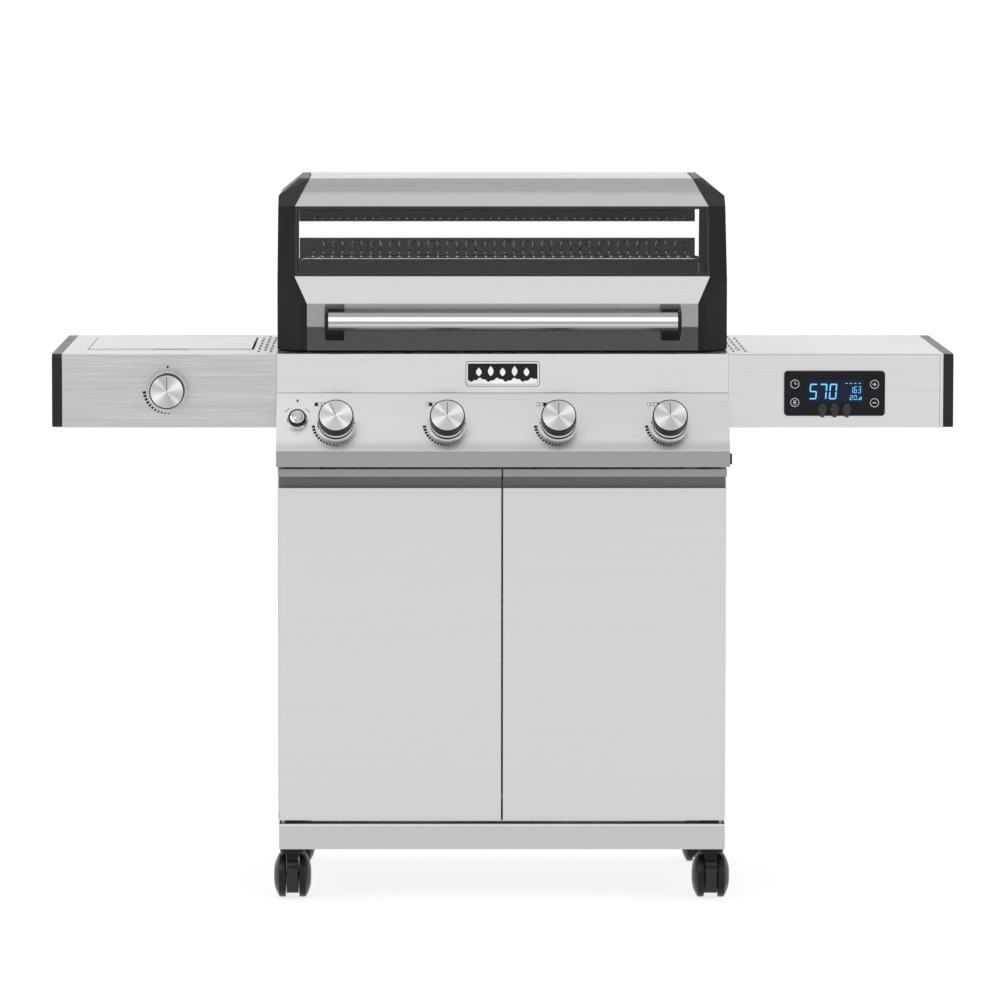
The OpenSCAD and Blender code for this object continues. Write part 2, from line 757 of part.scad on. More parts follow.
// The sloping panel with its lip, and the side cheeks that carry the fascia and the valves
module control_panel() {
    color(steel) difference() {
        union() {
            along_x(-half_w, half_w) polygon(strip([[10, panel_top_z], [0, panel_top_z],
                [-panel_run, lip_top_z], [-panel_run, lip_bottom_z],
                [-panel_run + 14, lip_bottom_z]], sheet));
            both_sides() along_x(half_w - sheet, half_w)
                polygon([[sheet, panel_top_z], [0, panel_top_z], [-panel_run, lip_top_z],
                    [-panel_run, lip_bottom_z], [side_front, lip_bottom_z],
                    [side_front, side_top_z], [firebox_front - 2, side_top_z],
                    [firebox_front - 2, shelf_z - sheet], [sheet, shelf_z - sheet]]);
        }
        // way through for the side burner's gas tube
        rod_x(-half_w - 5, -half_w + 5, line_y, line_z, 9);
        for (i = [1:4]) on_panel(knob_x(i), knob_down) translate([0, 0, -5])
            cylinder(r = stem_d / 2 + 6, h = 10);
        on_panel(button_x, button_down) translate([0, 0, -5]) cylinder(r = button_d / 2 + 1, h = 10);
    }
}
module badge() {
    color("silver") translate([0, 0, shelf_z - 32]) rotate([90, 0, 0])
        linear_extrude(1.5) rounded([118, 40], 5);
}

// ---- Side shelves ----
module slots() {
    for (line = [0:2], row = [0:slot_rows - 1]) {
        x = half_w + slot_line * (line + 1);
        y = 60 + slot_pitch * (row + (line == 1 ? 0.5 : 0));
        translate([x, y]) {
            square([slot_w, slot_l - slot_w], center = true);
            for (s = [-1, 1]) translate([0, s * (slot_l - slot_w) / 2]) circle(slot_w / 2);
        }
    }
}
// The right-hand shelf, open underneath: top, apron, back and both ends
module shelf_shell() {
    difference() {
        box([half_w, 0, shelf_low_z], [shelf_end_x, shelf_back, shelf_z]);
        box([half_w + sheet, sheet, shelf_low_z - 1],
            [shelf_end_x - sheet, shelf_back - sheet, shelf_z - sheet]);
        translate([0, 0, shelf_z - 5]) linear_extrude(10) slots();
    }
    // turned-in lower edges
    box([half_w, 0, shelf_low_z], [shelf_end_x, 14, shelf_low_z + sheet]);
    box([half_w, shelf_back - 14, shelf_low_z], [shelf_end_x, shelf_back, shelf_low_z + sheet]);
}
module left_shelf() {
    cut = [lid_w + 2 * lid_gap, lid_d + lid_gap + 9];
    color(steel) difference() {
        union() {
            mirror([1, 0, 0]) shelf_shell();
            // turned-down edge round the lid's opening
            translate([lid_x - cut[0] / 2 - sheet, lid_front - lid_gap - sheet, shelf_z - 20])
                cube([cut[0] + 2 * sheet, cut[1] + 2 * sheet, 19]);
        }
        translate([lid_x - cut[0] / 2, lid_front - lid_gap, shelf_z - 25]) cube([cut[0], cut[1], 40]);
        // finger notch in front of the lid
        translate([lid_x - notch_w / 2, lid_front - lid_gap - 9, shelf_z - 25]) cube([notch_w, 12, 40]);
        rod_x(lid_x - cut[0] / 2 - 5, lid_x + cut[0] / 2 + 5, lid_pin_y, lid_pin_z, lid_pin_r);
        rod_x(-half_w - 5, -half_w + 5, line_y, line_z, 9);
        on_apron() translate([0, 0, -5]) cylinder(r = stem_d / 2 + 6, h = 10);
    }
}
module right_shelf() {
    color(steel) difference() {
        shelf_shell();
        box([display_x - display_w / 2 + 6, -1, display_z - display_h / 2 + 6],
            [display_x + display_w / 2 - 6, sheet + 1, display_z + display_h / 2 - 6]);
    }
}
module shelf_end_caps() {
    r = 8;
    color(black) both_sides() along_x(shelf_end_x, shelf_end_x + cap_l) {
        translate([shelf_back / 2, shelf_z - shelf_h / 2]) rounded([shelf_back, shelf_h], r);
    }
}

// ---- Side burner ----
module side_burner_lid() {
    color(steel) difference() {
        box([lid_x - lid_w / 2, lid_front, lid_z - lid_edge], [lid_x + lid_w / 2, lid_front + lid_d, lid_z]);
        box([lid_x - lid_w / 2 + sheet, lid_front + sheet, 0],
            [lid_x + lid_w / 2 - sheet, lid_front + lid_d - sheet, lid_z - sheet]);
        rod_x(lid_x - lid_w, lid_x + lid_w, lid_pin_y, lid_pin_z, lid_pin_r + run_clear);
    }
}
module side_burner_bowl() {
    w = lid_w - 20;
    d = lid_d - 40;
    color(grey) difference() {
        union() {
            box([lid_x - lid_w / 2 - lid_gap, lid_front - lid_gap, bowl_z - sheet],
                [lid_x + lid_w / 2 + lid_gap, lid_front + d + 24, bowl_z]);
            box([lid_x - w / 2, lid_front + 10, bowl_z - bowl_h],
                [lid_x + w / 2, lid_front + 10 + d, bowl_z]);
        }
        box([lid_x - w / 2 + sheet, lid_front + 10 + sheet, bowl_z - bowl_h + sheet],
            [lid_x + w / 2 - sheet, lid_front + 10 + d - sheet, bowl_z + 5]);
        translate([lid_x, side_mid_y, bowl_z - bowl_h - 1]) cylinder(r = 9, h = 5);
    }
}
module side_burner_head() {
    color(iron) difference() {
        union() {
            translate([lid_x, side_mid_y, bowl_z - bowl_h + sheet]) {
                translate([0, 0, -24]) cylinder(r = 9, h = 26);
                cylinder(r = 30, h = 10);
                translate([0, 0, 10]) cylinder(r = 42, h = 8);
                translate([0, 0, 18]) cylinder(r = 36, h = 4);
            }
            rod_y(lid_x, 50, side_mid_y, side_knob_z, 9);
        }
        rod_y(lid_x, 49, side_mid_y - 8, side_knob_z, 7);
    }
}
// A square grate of bars that point at the burner, on its own frame inside the lid
module side_burner_grate() {
    half = lid_w / 2 - 14;
    h = lid_z - sheet - 1 - bowl_z;
    color(iron) translate([lid_x, side_mid_y, bowl_z]) linear_extrude(h) {
        difference() {
            square([2 * half, 2 * half - 12], center = true);
            square([2 * half - 16, 2 * half - 28], center = true);
        }
        for (a = [0:45:315]) rotate(a) translate([22, -3])
            square([half - 8 - 22 + (a % 90 == 45 ? 24 : 0), 6]);
    }
}

// ---- Thermometer ----
module display_panel() {
    color(black) difference() {
        union() {
            translate([display_x, 0, display_z]) rotate([90, 0, 0])
                linear_extrude(display_t) rounded([display_w, display_h], 6);
            box([display_x - display_w / 2 + 8, 0, display_z - display_h / 2 + 8],
                [display_x + display_w / 2 - 8, 26, display_z + display_h / 2 - 8]);
        }
        for (i = [1:3]) rod_y(cover_x(i), -display_t - 1, 12, display_z - display_h / 2 + 15, 1.5);
    }
}
function cover_x(i) = display_x + (i - 2) * jack_pitch;
// A rubber flap over a probe socket, hinged along its upper edge
module probe_cover(i) {
    z = display_z - display_h / 2 + 11;
    color([0.1, 0.1, 0.1]) translate([cover_x(i), -display_t - face_gap, z])
        rotate([90, 0, 0]) linear_extrude(3.5) {
            circle(cover_r);
            polygon([[-cover_r * 0.9, -cover_r * 0.43], [-2.5, -13], [2.5, -13],
                [cover_r * 0.9, -cover_r * 0.43]]);
            translate([-4, 0]) square([8, cover_r + 2]);
        }
}

// ---- Casters ----
// A twin-wheel caster; where = [x sign, index into caster_y]
caster_at = [[-1, 0], [1, 0], [-1, 1], [1, 1]];
module at_caster(n) {
    c = caster_at[n - 1];
    translate([c[0] * caster_x, caster_y[c[1]], 0]) children();
}
module caster_frame(n) {
    shell_r = wheel_r - 6;
    color(black) at_caster(n) difference() {
        union() {
            translate([0, 0, wheel_d + 4]) cylinder(r = 20, h = caster_h - wheel_d - 4 - face_gap);
            translate([0, 0, wheel_d + 2]) cylinder(r = swivel_d / 2,
                h = caster_h + socket_h - wheel_d - 3);
            along_x(-web_w / 2, web_w / 2) {
                translate([trail, wheel_r]) circle(shell_r);
                translate([-8, wheel_r + 10]) square([32, wheel_r - 4]);
            }
        }
        rod_x(-web_w, web_w, trail, wheel_r, axle_r + run_clear);
        if (n < 3) translate([-2, trail - wheel_r, wheel_r - 16]) cube([4, wheel_r + 9, 32]);
    }
}
module caster_wheels(n) {
    gap = web_w / 2 + 1.3;
    out = wheel_pair_w / 2;
    color([0.08, 0.08, 0.08]) at_caster(n) translate([0, trail, wheel_r]) rotate([0, 90, 0])
        rotate_extrude() polygon(concat(
            [[0, -out + 3], [axle_r + 8, -out + 3], [axle_r + 12, -out], [wheel_r - 10, -out]],
            [for (a = [30:30:90]) [wheel_r - 10 + 10 * sin(a), -out + 10 - 10 * cos(a)]],
            [[wheel_r, -gap], [axle_r, -gap], [axle_r, gap], [wheel_r, gap]],
            [for (a = [90:-30:30]) [wheel_r - 10 + 10 * sin(a), out - 10 + 10 * cos(a)]],
            [[wheel_r - 10, out], [axle_r + 12, out], [axle_r + 8, out - 3], [0, out - 3]]));
}
// The brake pedal: a curved shield in front of the web, on an arm that turns about the axle
module caster_brake(n) {
    r_in = wheel_r - 5;
    color([0.16, 0.16, 0.16]) at_caster(n) translate([0, trail, wheel_r]) {
        difference() {
            along_x(-web_w / 2 + 0.5, web_w / 2 - 0.5) sector(r_in, wheel_r + 0.5, 142, 222);
            along_x(-web_w, web_w) circle(r_in);
        }
        along_x(-web_w / 2 + 0.5, web_w / 2 - 0.5) sector(r_in + 1, wheel_r + 6, 142, 152);
        difference() {
            along_x(-1.5, 1.5) {
                circle(axle_r + 4);
                sector(0, r_in + 2, 172, 196);
            }
            rod_x(-5, 5, 0, 0, axle_r + run_clear + 0.03);
        }
    }
}
module sector(r_in, r_out, a_from, a_to) {
    step = (a_to - a_from) / 8;
    polygon(concat([for (i = [0:8]) r_out * [cos(a_from + i * step), sin(a_from + i * step)]],
        [for (i = [8:-1:0]) r_in * [cos(a_from + i * step), sin(a_from + i * step)]]));
}

place() base_frame();
place() bottom_panel();
place() side_panels();
place() rear_panel();
place() left_door();
place() right_door();
place() hinge_pins();
place() door_catches();
place() firebox();
place() grease_tray();
place() grease_cup();
place() burner_tubes();
place() flame_tamers();
place() left_cooking_grate();
place() right_cooking_grate();
place() warming_rack();
place() gas_manifold();
place() gas_valves();
place() valve_stem(1);  // valve_stem_1
place() valve_stem(2);  // valve_stem_2
place() valve_stem(3);  // valve_stem_3
place() valve_stem(4);  // valve_stem_4
place() side_valve_stem();
place() burner_knob(1);  // knob_1
place() burner_knob(2);  // knob_2
place() burner_knob(3);  // knob_3
place() burner_knob(4);  // knob_4
place() side_knob();
place() control_bezels();
place() ignition_button();
place() hood_shell();
place() hood_front_panel();
place() hood_castings();
place() hood_window();
place() hood_handle();
place() handle_brackets();
place() fascia();
place() control_panel();
place() badge();
place() left_shelf();
place() right_shelf();
place() shelf_end_caps();
place() side_burner_lid();
place() side_burner_bowl();
place() side_burner_head();
place() side_burner_grate();
place() display_panel();
place() probe_cover(1);  // probe_cover_1
place() probe_cover(2);  // probe_cover_2
place() probe_cover(3);  // probe_cover_3
place() caster_frame(1);  // caster_frame_1
place() caster_frame(2);  // caster_frame_2
place() caster_frame(3);  // caster_frame_3
place() caster_frame(4);  // caster_frame_4
place() caster_wheels(1);  // caster_wheels_1
place() caster_wheels(2);  // caster_wheels_2
place() caster_wheels(3);  // caster_wheels_3
place() caster_wheels(4);  // caster_wheels_4
place() caster_brake(1);  // caster_brake_1
place() caster_brake(2);  // caster_brake_2
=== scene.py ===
"""Looks of a gas barbecue grill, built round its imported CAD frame: brushed stainless steel, black
castings, a glass window, turned aluminium knobs and a lit thermometer. Metres throughout, with the
grill's front towards -Y."""
import json
import math

import bpy
import bmesh
from mathutils import Matrix, Vector


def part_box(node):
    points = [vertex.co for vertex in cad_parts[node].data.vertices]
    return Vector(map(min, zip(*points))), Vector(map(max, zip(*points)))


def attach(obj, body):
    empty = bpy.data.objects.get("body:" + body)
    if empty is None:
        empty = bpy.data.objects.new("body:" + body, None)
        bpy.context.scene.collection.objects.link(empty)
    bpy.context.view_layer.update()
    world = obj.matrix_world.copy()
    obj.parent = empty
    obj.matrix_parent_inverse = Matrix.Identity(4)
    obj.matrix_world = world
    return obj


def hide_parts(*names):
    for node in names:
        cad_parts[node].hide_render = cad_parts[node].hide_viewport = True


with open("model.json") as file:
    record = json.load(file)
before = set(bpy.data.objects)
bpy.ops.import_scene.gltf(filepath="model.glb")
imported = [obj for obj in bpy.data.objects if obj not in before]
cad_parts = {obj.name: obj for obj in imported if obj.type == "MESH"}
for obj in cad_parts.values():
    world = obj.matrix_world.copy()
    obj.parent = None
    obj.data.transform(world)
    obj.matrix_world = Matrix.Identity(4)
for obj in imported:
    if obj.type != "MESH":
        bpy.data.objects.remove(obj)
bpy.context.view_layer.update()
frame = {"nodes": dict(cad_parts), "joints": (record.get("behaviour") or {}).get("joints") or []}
nodes = frame["nodes"]
joints = {j["name"]: j for j in frame["joints"]}
MM = 0.001


# ---------------------------------------------------------------- mesh helpers
def new_piece(name, bm, material, body, replaces=(), smooth=True, place=None):
    """Turns a bmesh into a piece that rides on a body."""
    bmesh.ops.remove_doubles(bm, verts=bm.verts, dist=1e-6)
    bmesh.ops.recalc_face_normals(bm, faces=bm.faces)
    mesh = bpy.data.meshes.new(name)
    bm.to_mesh(mesh)
    bm.free()
    piece = bpy.data.objects.new(name, mesh)
    bpy.context.scene.collection.objects.link(piece)
    mesh.materials.append(material)
    if smooth:
        mesh.shade_smooth()
        mesh.set_sharp_from_angle(angle=math.radians(32))
    if place:
        piece.matrix_world = place
    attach(piece, body)
    if replaces:
        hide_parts(*replaces)
    return piece


def soften(obj, width=0.6 * MM, segments=2):
    """Rounds the edges of a CAD node or a piece without touching its mesh."""
    weld = obj.modifiers.new("weld", "WELD")
    weld.merge_threshold = 0.01 * MM
    bevel = obj.modifiers.new("edges", "BEVEL")
    bevel.width = width
    bevel.segments = segments
    bevel.limit_method = "ANGLE"
    bevel.angle_limit = math.radians(30)
    bevel.use_clamp_overlap = True
    flat = obj.modifiers.new("flats", "WEIGHTED_NORMAL")
    flat.mode = "FACE_AREA"
    flat.weight = 100
    obj.data.shade_smooth()


def lathe(bm, profile, sides=96, ripple=None, place=Matrix()):
    """Turns (radius, height) points about Z. ripple(radius, height, angle) may change a radius."""
    rings = []
    for r, z in profile:
        if r < 1e-7:
            rings.append([bm.verts.new(place @ Vector((0, 0, z)))])
            continue
        ring = []
        for i in range(sides):
            a = 2 * math.pi * i / sides
            rr = ripple(r, z, a) if ripple else r
            ring.append(bm.verts.new(place @ Vector((rr * math.cos(a), rr * math.sin(a), z))))
        rings.append(ring)
    for low, high in zip(rings, rings[1:]):
        for i in range(sides):
            j = (i + 1) % sides
            if len(low) == 1 and len(high) == 1:
                continue
            if len(low) == 1:
                bm.faces.new((low[0], high[i], high[j]))
            elif len(high) == 1:
                bm.faces.new((low[i], low[j], high[0]))
            else:
                bm.faces.new((low[i], low[j], high[j], high[i]))


def plate(bm, outline, low, high, place=Matrix()):
    """A flat plate: an outline of (x, y) points between two heights."""
    bottom = [bm.verts.new(place @ Vector((x, y, low))) for x, y in outline]
    top = [bm.verts.new(place @ Vector((x, y, high))) for x, y in outline]
    bm.faces.new(bottom)
    bm.faces.new(top)
    n = len(outline)
    for i in range(n):
        j = (i + 1) % n
        bm.faces.new((bottom[i], bottom[j], top[j], top[i]))


def sweep(bm, path, radius, sides=8, closed=False):
    """A round wire along a list of points."""
    points = [Vector(p) for p in path]
    n = len(points)
    rings = []
    normal = None
    for i, p in enumerate(points):
        before = points[i - 1] if i or closed else p
        after = points[(i + 1) % n] if i < n - 1 or closed else p
        along = (after - before).normalized()
        if normal is None:
            side = Vector((0, 0, 1)) if abs(along.z) < 0.9 else Vector((0, 1, 0))
            normal = along.cross(side).normalized()
        normal = (normal - along * normal.dot(along)).normalized()
        other = along.cross(normal)
        ring = []
        for k in range(sides):
            a = 2 * math.pi * k / sides
            ring.append(bm.verts.new(p + radius * (math.cos(a) * normal + math.sin(a) * other)))
        rings.append(ring)
    pairs = list(zip(rings, rings[1:])) + ([(rings[-1], rings[0])] if closed else [])
    for low, high in pairs:
        for k in range(sides):
            m = (k + 1) % sides
            bm.faces.new((low[k], low[m], high[m], high[k]))
    if not closed:
        bm.faces.new(rings[0])
        bm.faces.new(rings[-1])


def rounded_rect(w, h, r, steps=6):
    points = []
    for cx, cy, start in ((w / 2 - r, h / 2 - r, 0), (-w / 2 + r, h / 2 - r, 90),
                          (-w / 2 + r, -h / 2 + r, 180), (w / 2 - r, -h / 2 + r, 270)):
        for i in range(steps + 1):
            a = math.radians(start + 90 * i / steps)
            points.append((cx + r * math.cos(a), cy + r * math.sin(a)))
    return points


def frame_plate(bm, outer, inner, low, high, place=Matrix()):
    """A flat ring between two outlines that have as many points as each other."""
    n = len(outer)
    levels = []
    for z in (low, high):
        levels.append(([bm.verts.new(place @ Vector((x, y, z))) for x, y in outer],
                       [bm.verts.new(place @ Vector((x, y, z))) for x, y in inner]))
    for i in range(n):
        j = (i + 1) % n
        (ob, ib), (ot, it) = levels
        bm.faces.new((ob[i], ob[j], ib[j], ib[i]))
        bm.faces.new((ot[i], ot[j], it[j], it[i]))
        bm.faces.new((ob[i], ob[j], ot[j], ot[i]))
        bm.faces.new((ib[i], ib[j], it[j], it[i]))


# ---------------------------------------------------------------- materials
class Shader:
    """A Principled material with a few helpers for its nodes."""

    def __init__(self, name, color, metallic=0.0, roughness=0.5, **sockets):
        self.material = bpy.data.materials.new(name)
        self.material.use_nodes = True
        self.tree = self.material.node_tree
        self.bsdf = self.tree.nodes["Principled BSDF"]
        self.color = (*color[:3], 1.0)
        self.set("Base Color", self.color)
        self.set("Metallic", metallic)
        self.set("Roughness", roughness)
        for key, value in sockets.items():
            self.set(key.replace("_", " "), value)
        self.height = None

    def set(self, socket, value):
        self.bsdf.inputs[socket].default_value = value

    def node(self, kind, **values):
        n = self.tree.nodes.new(kind)
        for key, value in values.items():
            if key in n.inputs:
                n.inputs[key].default_value = value
            else:
                setattr(n, key, value)
        return n

    def link(self, a, b):
        self.tree.links.new(a, b)

    def coords(self, scale):
        """Object coordinates, stretched."""
        source = self.node("ShaderNodeTexCoord")
        mapping = self.node("ShaderNodeMapping")
        mapping.inputs["Scale"].default_value = scale
        self.link(source.outputs["Object"], mapping.inputs["Vector"])
        return mapping.outputs["Vector"]

    def noise(self, scale, detail=4.0, rough=0.5, stretch=(1, 1, 1)):
        n = self.node("ShaderNodeTexNoise", Scale=scale, Detail=detail, Roughness=rough)
        self.link(self.coords(stretch), n.inputs["Vector"])
        return n.outputs["Fac"]

    def spread(self, value, low, high, from_low=0.3, from_high=0.7):
        r = self.node("ShaderNodeMapRange")
        r.inputs["From Min"].default_value = from_low
        r.inputs["From Max"].default_value = from_high
        r.inputs["To Min"].default_value = low
        r.inputs["To Max"].default_value = high
        self.link(value, r.inputs["Value"])
        return r.outputs["Result"]

    def math(self, operation, a, b):
        n = self.node("ShaderNodeMath", operation=operation)
        for i, v in enumerate((a, b)):
            if isinstance(v, (int, float)):
                n.inputs[i].default_value = v
            else:
                self.link(v, n.inputs[i])
        return n.outputs["Value"]

    def tint(self, factor, dark, light):
        """Base colour between two shades by a 0 to 1 value."""
        mix = self.node("ShaderNodeMix", data_type="RGBA")
        mix.inputs[6].default_value = (*dark, 1)
        mix.inputs[7].default_value = (*light, 1)
        self.link(factor, mix.inputs[0])
        self.link(mix.outputs[2], self.bsdf.inputs["Base Color"])

    def roughness(self, value):
        self.link(value, self.bsdf.inputs["Roughness"])

    def bump(self, value, distance, strength=1.0):
        b = self.node("ShaderNodeBump")
        b.inputs["Distance"].default_value = distance
        b.inputs["Strength"].default_value = strength
        self.link(value, b.inputs["Height"])
        if self.height:
            self.link(self.height, b.inputs["Normal"])
        self.height = b.outputs["Normal"]
        self.link(self.height, self.bsdf.inputs["Normal"])


def scaled(color, k):
    return tuple(min(1.0, c * k) for c in color)


def brushed(name, color, along="x", rough=0.3, streak=0.06, wave=0.02 * MM, grain=1.0, length=3):
    """Brushed steel: long fine scratches along one axis, slow waves in the sheet, faint smudges."""
    s = Shader(name, color, metallic=1.0, roughness=rough)
    fine = {"x": (length, 1400, 1400), "y": (1400, length, 1400)}[along]
    broad = {"x": (0.6 * length, 220, 220), "y": (220, 0.6 * length, 220)}[along]
    lines = s.noise(grain, 3, 0.6, fine)
    bands = s.noise(1.0, 3, 0.55, broad)
    smudge = s.noise(5.0, 3, 0.5)
    mixed = s.math("ADD", s.math("MULTIPLY", lines, 0.55), s.math("MULTIPLY", bands, 0.45))
    s.tint(s.spread(mixed, 0.0, 1.0, 0.32, 0.68), scaled(color, 1 - streak), scaled(color, 1 + streak))
    s.roughness(s.math("ADD", s.spread(mixed, rough - 0.05, rough + 0.06),
                       s.spread(smudge, -0.02, 0.03)))
    s.bump(s.noise(2.2, 1, 0.4), wave)
    s.bump(lines, 0.004 * MM, 0.6)
    return s


def painted(name, color, rough=0.4, grain=900.0, depth=0.02 * MM, vary=0.12, **sockets):
    """Enamel, powder coat or moulded plastic: fine texture, slight change of tone and gloss."""
    s = Shader(name, color, roughness=rough, **{"Specular_IOR_Level": 0.14, **sockets})
    tone = s.noise(18.0, 4, 0.6)
    s.tint(s.spread(tone, 0, 1), scaled(color, 1 - vary), scaled(color, 1 + vary))
    s.roughness(s.spread(s.noise(60.0, 3, 0.5), rough - 0.05, rough + 0.06))
    s.bump(s.noise(grain, 2, 0.5), depth)
    return s


def metal(name, color, rough=0.2, vary=0.05, grain=300.0, depth=0.01 * MM, **sockets):
    """Plated, cast or machined metal."""
    s = Shader(name, color, metallic=1.0, roughness=rough, **sockets)
    s.tint(s.spread(s.noise(25.0, 4, 0.6), 0, 1), scaled(color, 1 - vary), scaled(color, 1 + vary))
    s.roughness(s.spread(s.noise(80.0, 3, 0.5), max(0.02, rough - 0.04), rough + 0.05))
    s.bump(s.noise(grain, 2, 0.5), depth)
    return s


STEEL = (0.60, 0.60, 0.60)
# one brushed steel in several tones, set part by part: partly each part's own finish, partly painted light
# and shade for how light falls on that part
M = {
    "steel": brushed("brushed_steel_x", scaled(STEEL, 1.06), streak=0.02).material,
    "steel_side": brushed("brushed_steel_y", STEEL, along="y", streak=0.02).material,
    "steel_coarse": brushed("brushed_steel_coarse", scaled(STEEL, 0.83), streak=0.16, rough=0.34,
                            length=9).material,
    "steel_shelf": brushed("brushed_steel_shelf", scaled(STEEL, 1.03), streak=0.02).material,
    "steel_frame": brushed("brushed_steel_frame", scaled(STEEL, 0.86), streak=0.02).material,
    "steel_hood": brushed("brushed_steel_hood", scaled(STEEL, 0.84), streak=0.02).material,
    "handle": brushed("handle_steel", (0.66, 0.655, 0.65), rough=0.2, streak=0.05).material,
    "enamel": painted("black_enamel", (0.010, 0.010, 0.012), rough=0.36, grain=700).material,
    "liner": painted("grey_enamel", (0.080, 0.080, 0.084), rough=0.5, grain=500, depth=0.005 * MM).material,
    "dark_liner": painted("dark_enamel", (0.008, 0.008, 0.009), rough=0.5, grain=500,
                          depth=0.005 * MM).material,
    "grey": painted("grey_coat", (0.16, 0.16, 0.165), rough=0.5, grain=1100).material,
    "plastic": painted("black_plastic", (0.010, 0.010, 0.011), rough=0.38, grain=1500).material,
    "pedal": painted("pedal_plastic", (0.022, 0.022, 0.026), rough=0.35, grain=1500).material,
    "cap": painted("cap_plastic", (0.008, 0.008, 0.009), rough=0.33, grain=420, depth=0.05 * MM,
                   Specular_IOR_Level=0.25).material,
    "wheel": painted("wheel_plastic", (0.006, 0.006, 0.007), rough=0.28, grain=900,
                     Specular_IOR_Level=0.2).material,
    "rubber": painted("rubber", (0.030, 0.030, 0.032), rough=0.62, grain=1200).material,
    "gloss": painted("display_gloss", (0.006, 0.006, 0.008), rough=0.1, grain=60, depth=0.002 * MM,
                     vary=0.05).material,
    "ink": painted("black_ink", (0.01, 0.01, 0.011), rough=0.5).material,
    "chrome": metal("chrome", (0.50, 0.50, 0.51), rough=0.08).material,
    "silver": metal("badge_silver", (0.78, 0.78, 0.78), rough=0.3).material,
    "pin": metal("pin_steel", (0.5, 0.5, 0.5), rough=0.3).material,
    "zinc": metal("galvanised", (0.52, 0.53, 0.54), rough=0.38, vary=0.14, grain=90).material,
    "burner": metal("burner_steel", (0.42, 0.40, 0.37), rough=0.4, vary=0.18).material,
    "brass": metal("brass", (0.62, 0.45, 0.17), rough=0.28).material,
    "iron": painted("cast_iron", (0.022, 0.022, 0.023), rough=0.55, grain=320, depth=0.15 * MM).material,
    "white": painted("white_print", (0.75, 0.76, 0.78), rough=0.4).material,
    "catch": painted("catch_plastic", (0.62, 0.62, 0.6), rough=0.45).material,
}


def tone_by_height(material, bands, fade=0.6 * MM):
    """Paints light and shade into a material's base colour: multiplies it in horizontal bands, (z_low,
    z_high, factor) in metres.
    """
    tree = material.node_tree
    bsdf = tree.nodes["Principled BSDF"]
    source = bsdf.inputs["Base Color"].links[0].from_socket
    coords = tree.nodes.new("ShaderNodeTexCoord")
    split = tree.nodes.new("ShaderNodeSeparateXYZ")
    tree.links.new(coords.outputs["Object"], split.inputs["Vector"])
    for low, high, factor in bands:
        inside = []
        for edge, up in ((low, True), (high, False)):
            ramp = tree.nodes.new("ShaderNodeMapRange")
            ramp.interpolation_type = "SMOOTHSTEP"
            ramp.inputs["From Min"].default_value = edge - fade
            ramp.inputs["From Max"].default_value = edge + fade
            ramp.inputs["To Min"].default_value = 0.0 if up else 1.0
            ramp.inputs["To Max"].default_value = 1.0 if up else 0.0
            tree.links.new(split.outputs["Z"], ramp.inputs["Value"])
            inside.append(ramp.outputs["Result"])
        both = tree.nodes.new("ShaderNodeMath")
        both.operation = "MULTIPLY"
        tree.links.new(inside[0], both.inputs[0])
        tree.links.new(inside[1], both.inputs[1])
        mix = tree.nodes.new("ShaderNodeMix")
        mix.data_type = "RGBA"
        mix.blend_type = "MULTIPLY"
        mix.inputs[7].default_value = (factor, factor, factor, 1)
        tree.links.new(both.outputs["Value"], mix.inputs[0])
        tree.links.new(source, mix.inputs[6])
        source = mix.outputs[2]
    tree.links.new(source, bsdf.inputs["Base Color"])
    return material


def lit(name, color, strength):
    s = Shader(name, color, roughness=0.3)
    glow = s.spread(s.noise(900.0, 1, 0.5), 0.92, 1.0)
    s.tint(glow, scaled(color, 0.9), color)
    s.set("Emission Color", s.color)
    s.set("Emission Strength", strength)
    return s.material


def glass(name):
    """Clear glass: nearly see-through face on, and mirror-like at a low angle."""
    s = Shader(name, (0.60, 0.62, 0.62), roughness=0.04, IOR=1.45)
    edge = s.node("ShaderNodeLayerWeight", Blend=0.35)
    s.link(s.spread(edge.outputs["Fresnel"], 0.015, 0.85, 0.02, 1.0), s.bsdf.inputs["Alpha"])
    s.tint(s.spread(s.noise(4.0, 3, 0.5), 0, 1), (0.42, 0.44, 0.44), (0.50, 0.52, 0.52))
    s.bump(s.noise(3.0, 1, 0.4), 0.01 * MM)
    return s.material


def turned(name):
    """Aluminium faced on a lathe: fine rings about the piece's own Z, a real crossed anisotropic shine, and
    crossed bright wedges of painted highlight in its base colour.
    """
    s = Shader(name, (0.80, 0.80, 0.80), metallic=1.0, roughness=0.27, Anisotropic=0.6)
    tangent = s.node("ShaderNodeTangent", direction_type="RADIAL", axis="Z")
    s.link(tangent.outputs["Tangent"], s.bsdf.inputs["Tangent"])
    rings = s.node("ShaderNodeTexWave", wave_type="RINGS", rings_direction="Z", Scale=900.0, Distortion=0.6,
                   Detail=1.0)
    s.link(s.coords((1, 1, 0.0)), rings.inputs["Vector"])
    around = s.node("ShaderNodeTexGradient", gradient_type="RADIAL")
    s.link(s.coords((1, 1, 1)), around.inputs["Vector"])
    painted_sheen = 0.0
    # painted highlight: four bright wedge patterns round the face, laid into its base colour
    for turn, power, part in ((0.12, 2, 0.22), (-0.125, 34, 0.5), (0.085, 16, 0.42), (0.02, 6, 0.2)):
        angle = s.math("MULTIPLY", s.math("SUBTRACT", around.outputs["Fac"], turn), 2 * math.pi)
        wedge = s.math("POWER", s.math("ABSOLUTE", s.math("COSINE", angle, 0), 0), power)
        painted_sheen = s.math("ADD", s.math("MULTIPLY", wedge, part), painted_sheen)
    painted_sheen = s.math("ADD", painted_sheen, s.math("MULTIPLY", rings.outputs["Fac"], 0.08))
    s.tint(s.spread(painted_sheen, 0, 1, 0.0, 1.0), (0.38, 0.38, 0.385), (0.92, 0.92, 0.92))
    s.bump(rings.outputs["Fac"], 0.003 * MM, 0.5)
    return s.material


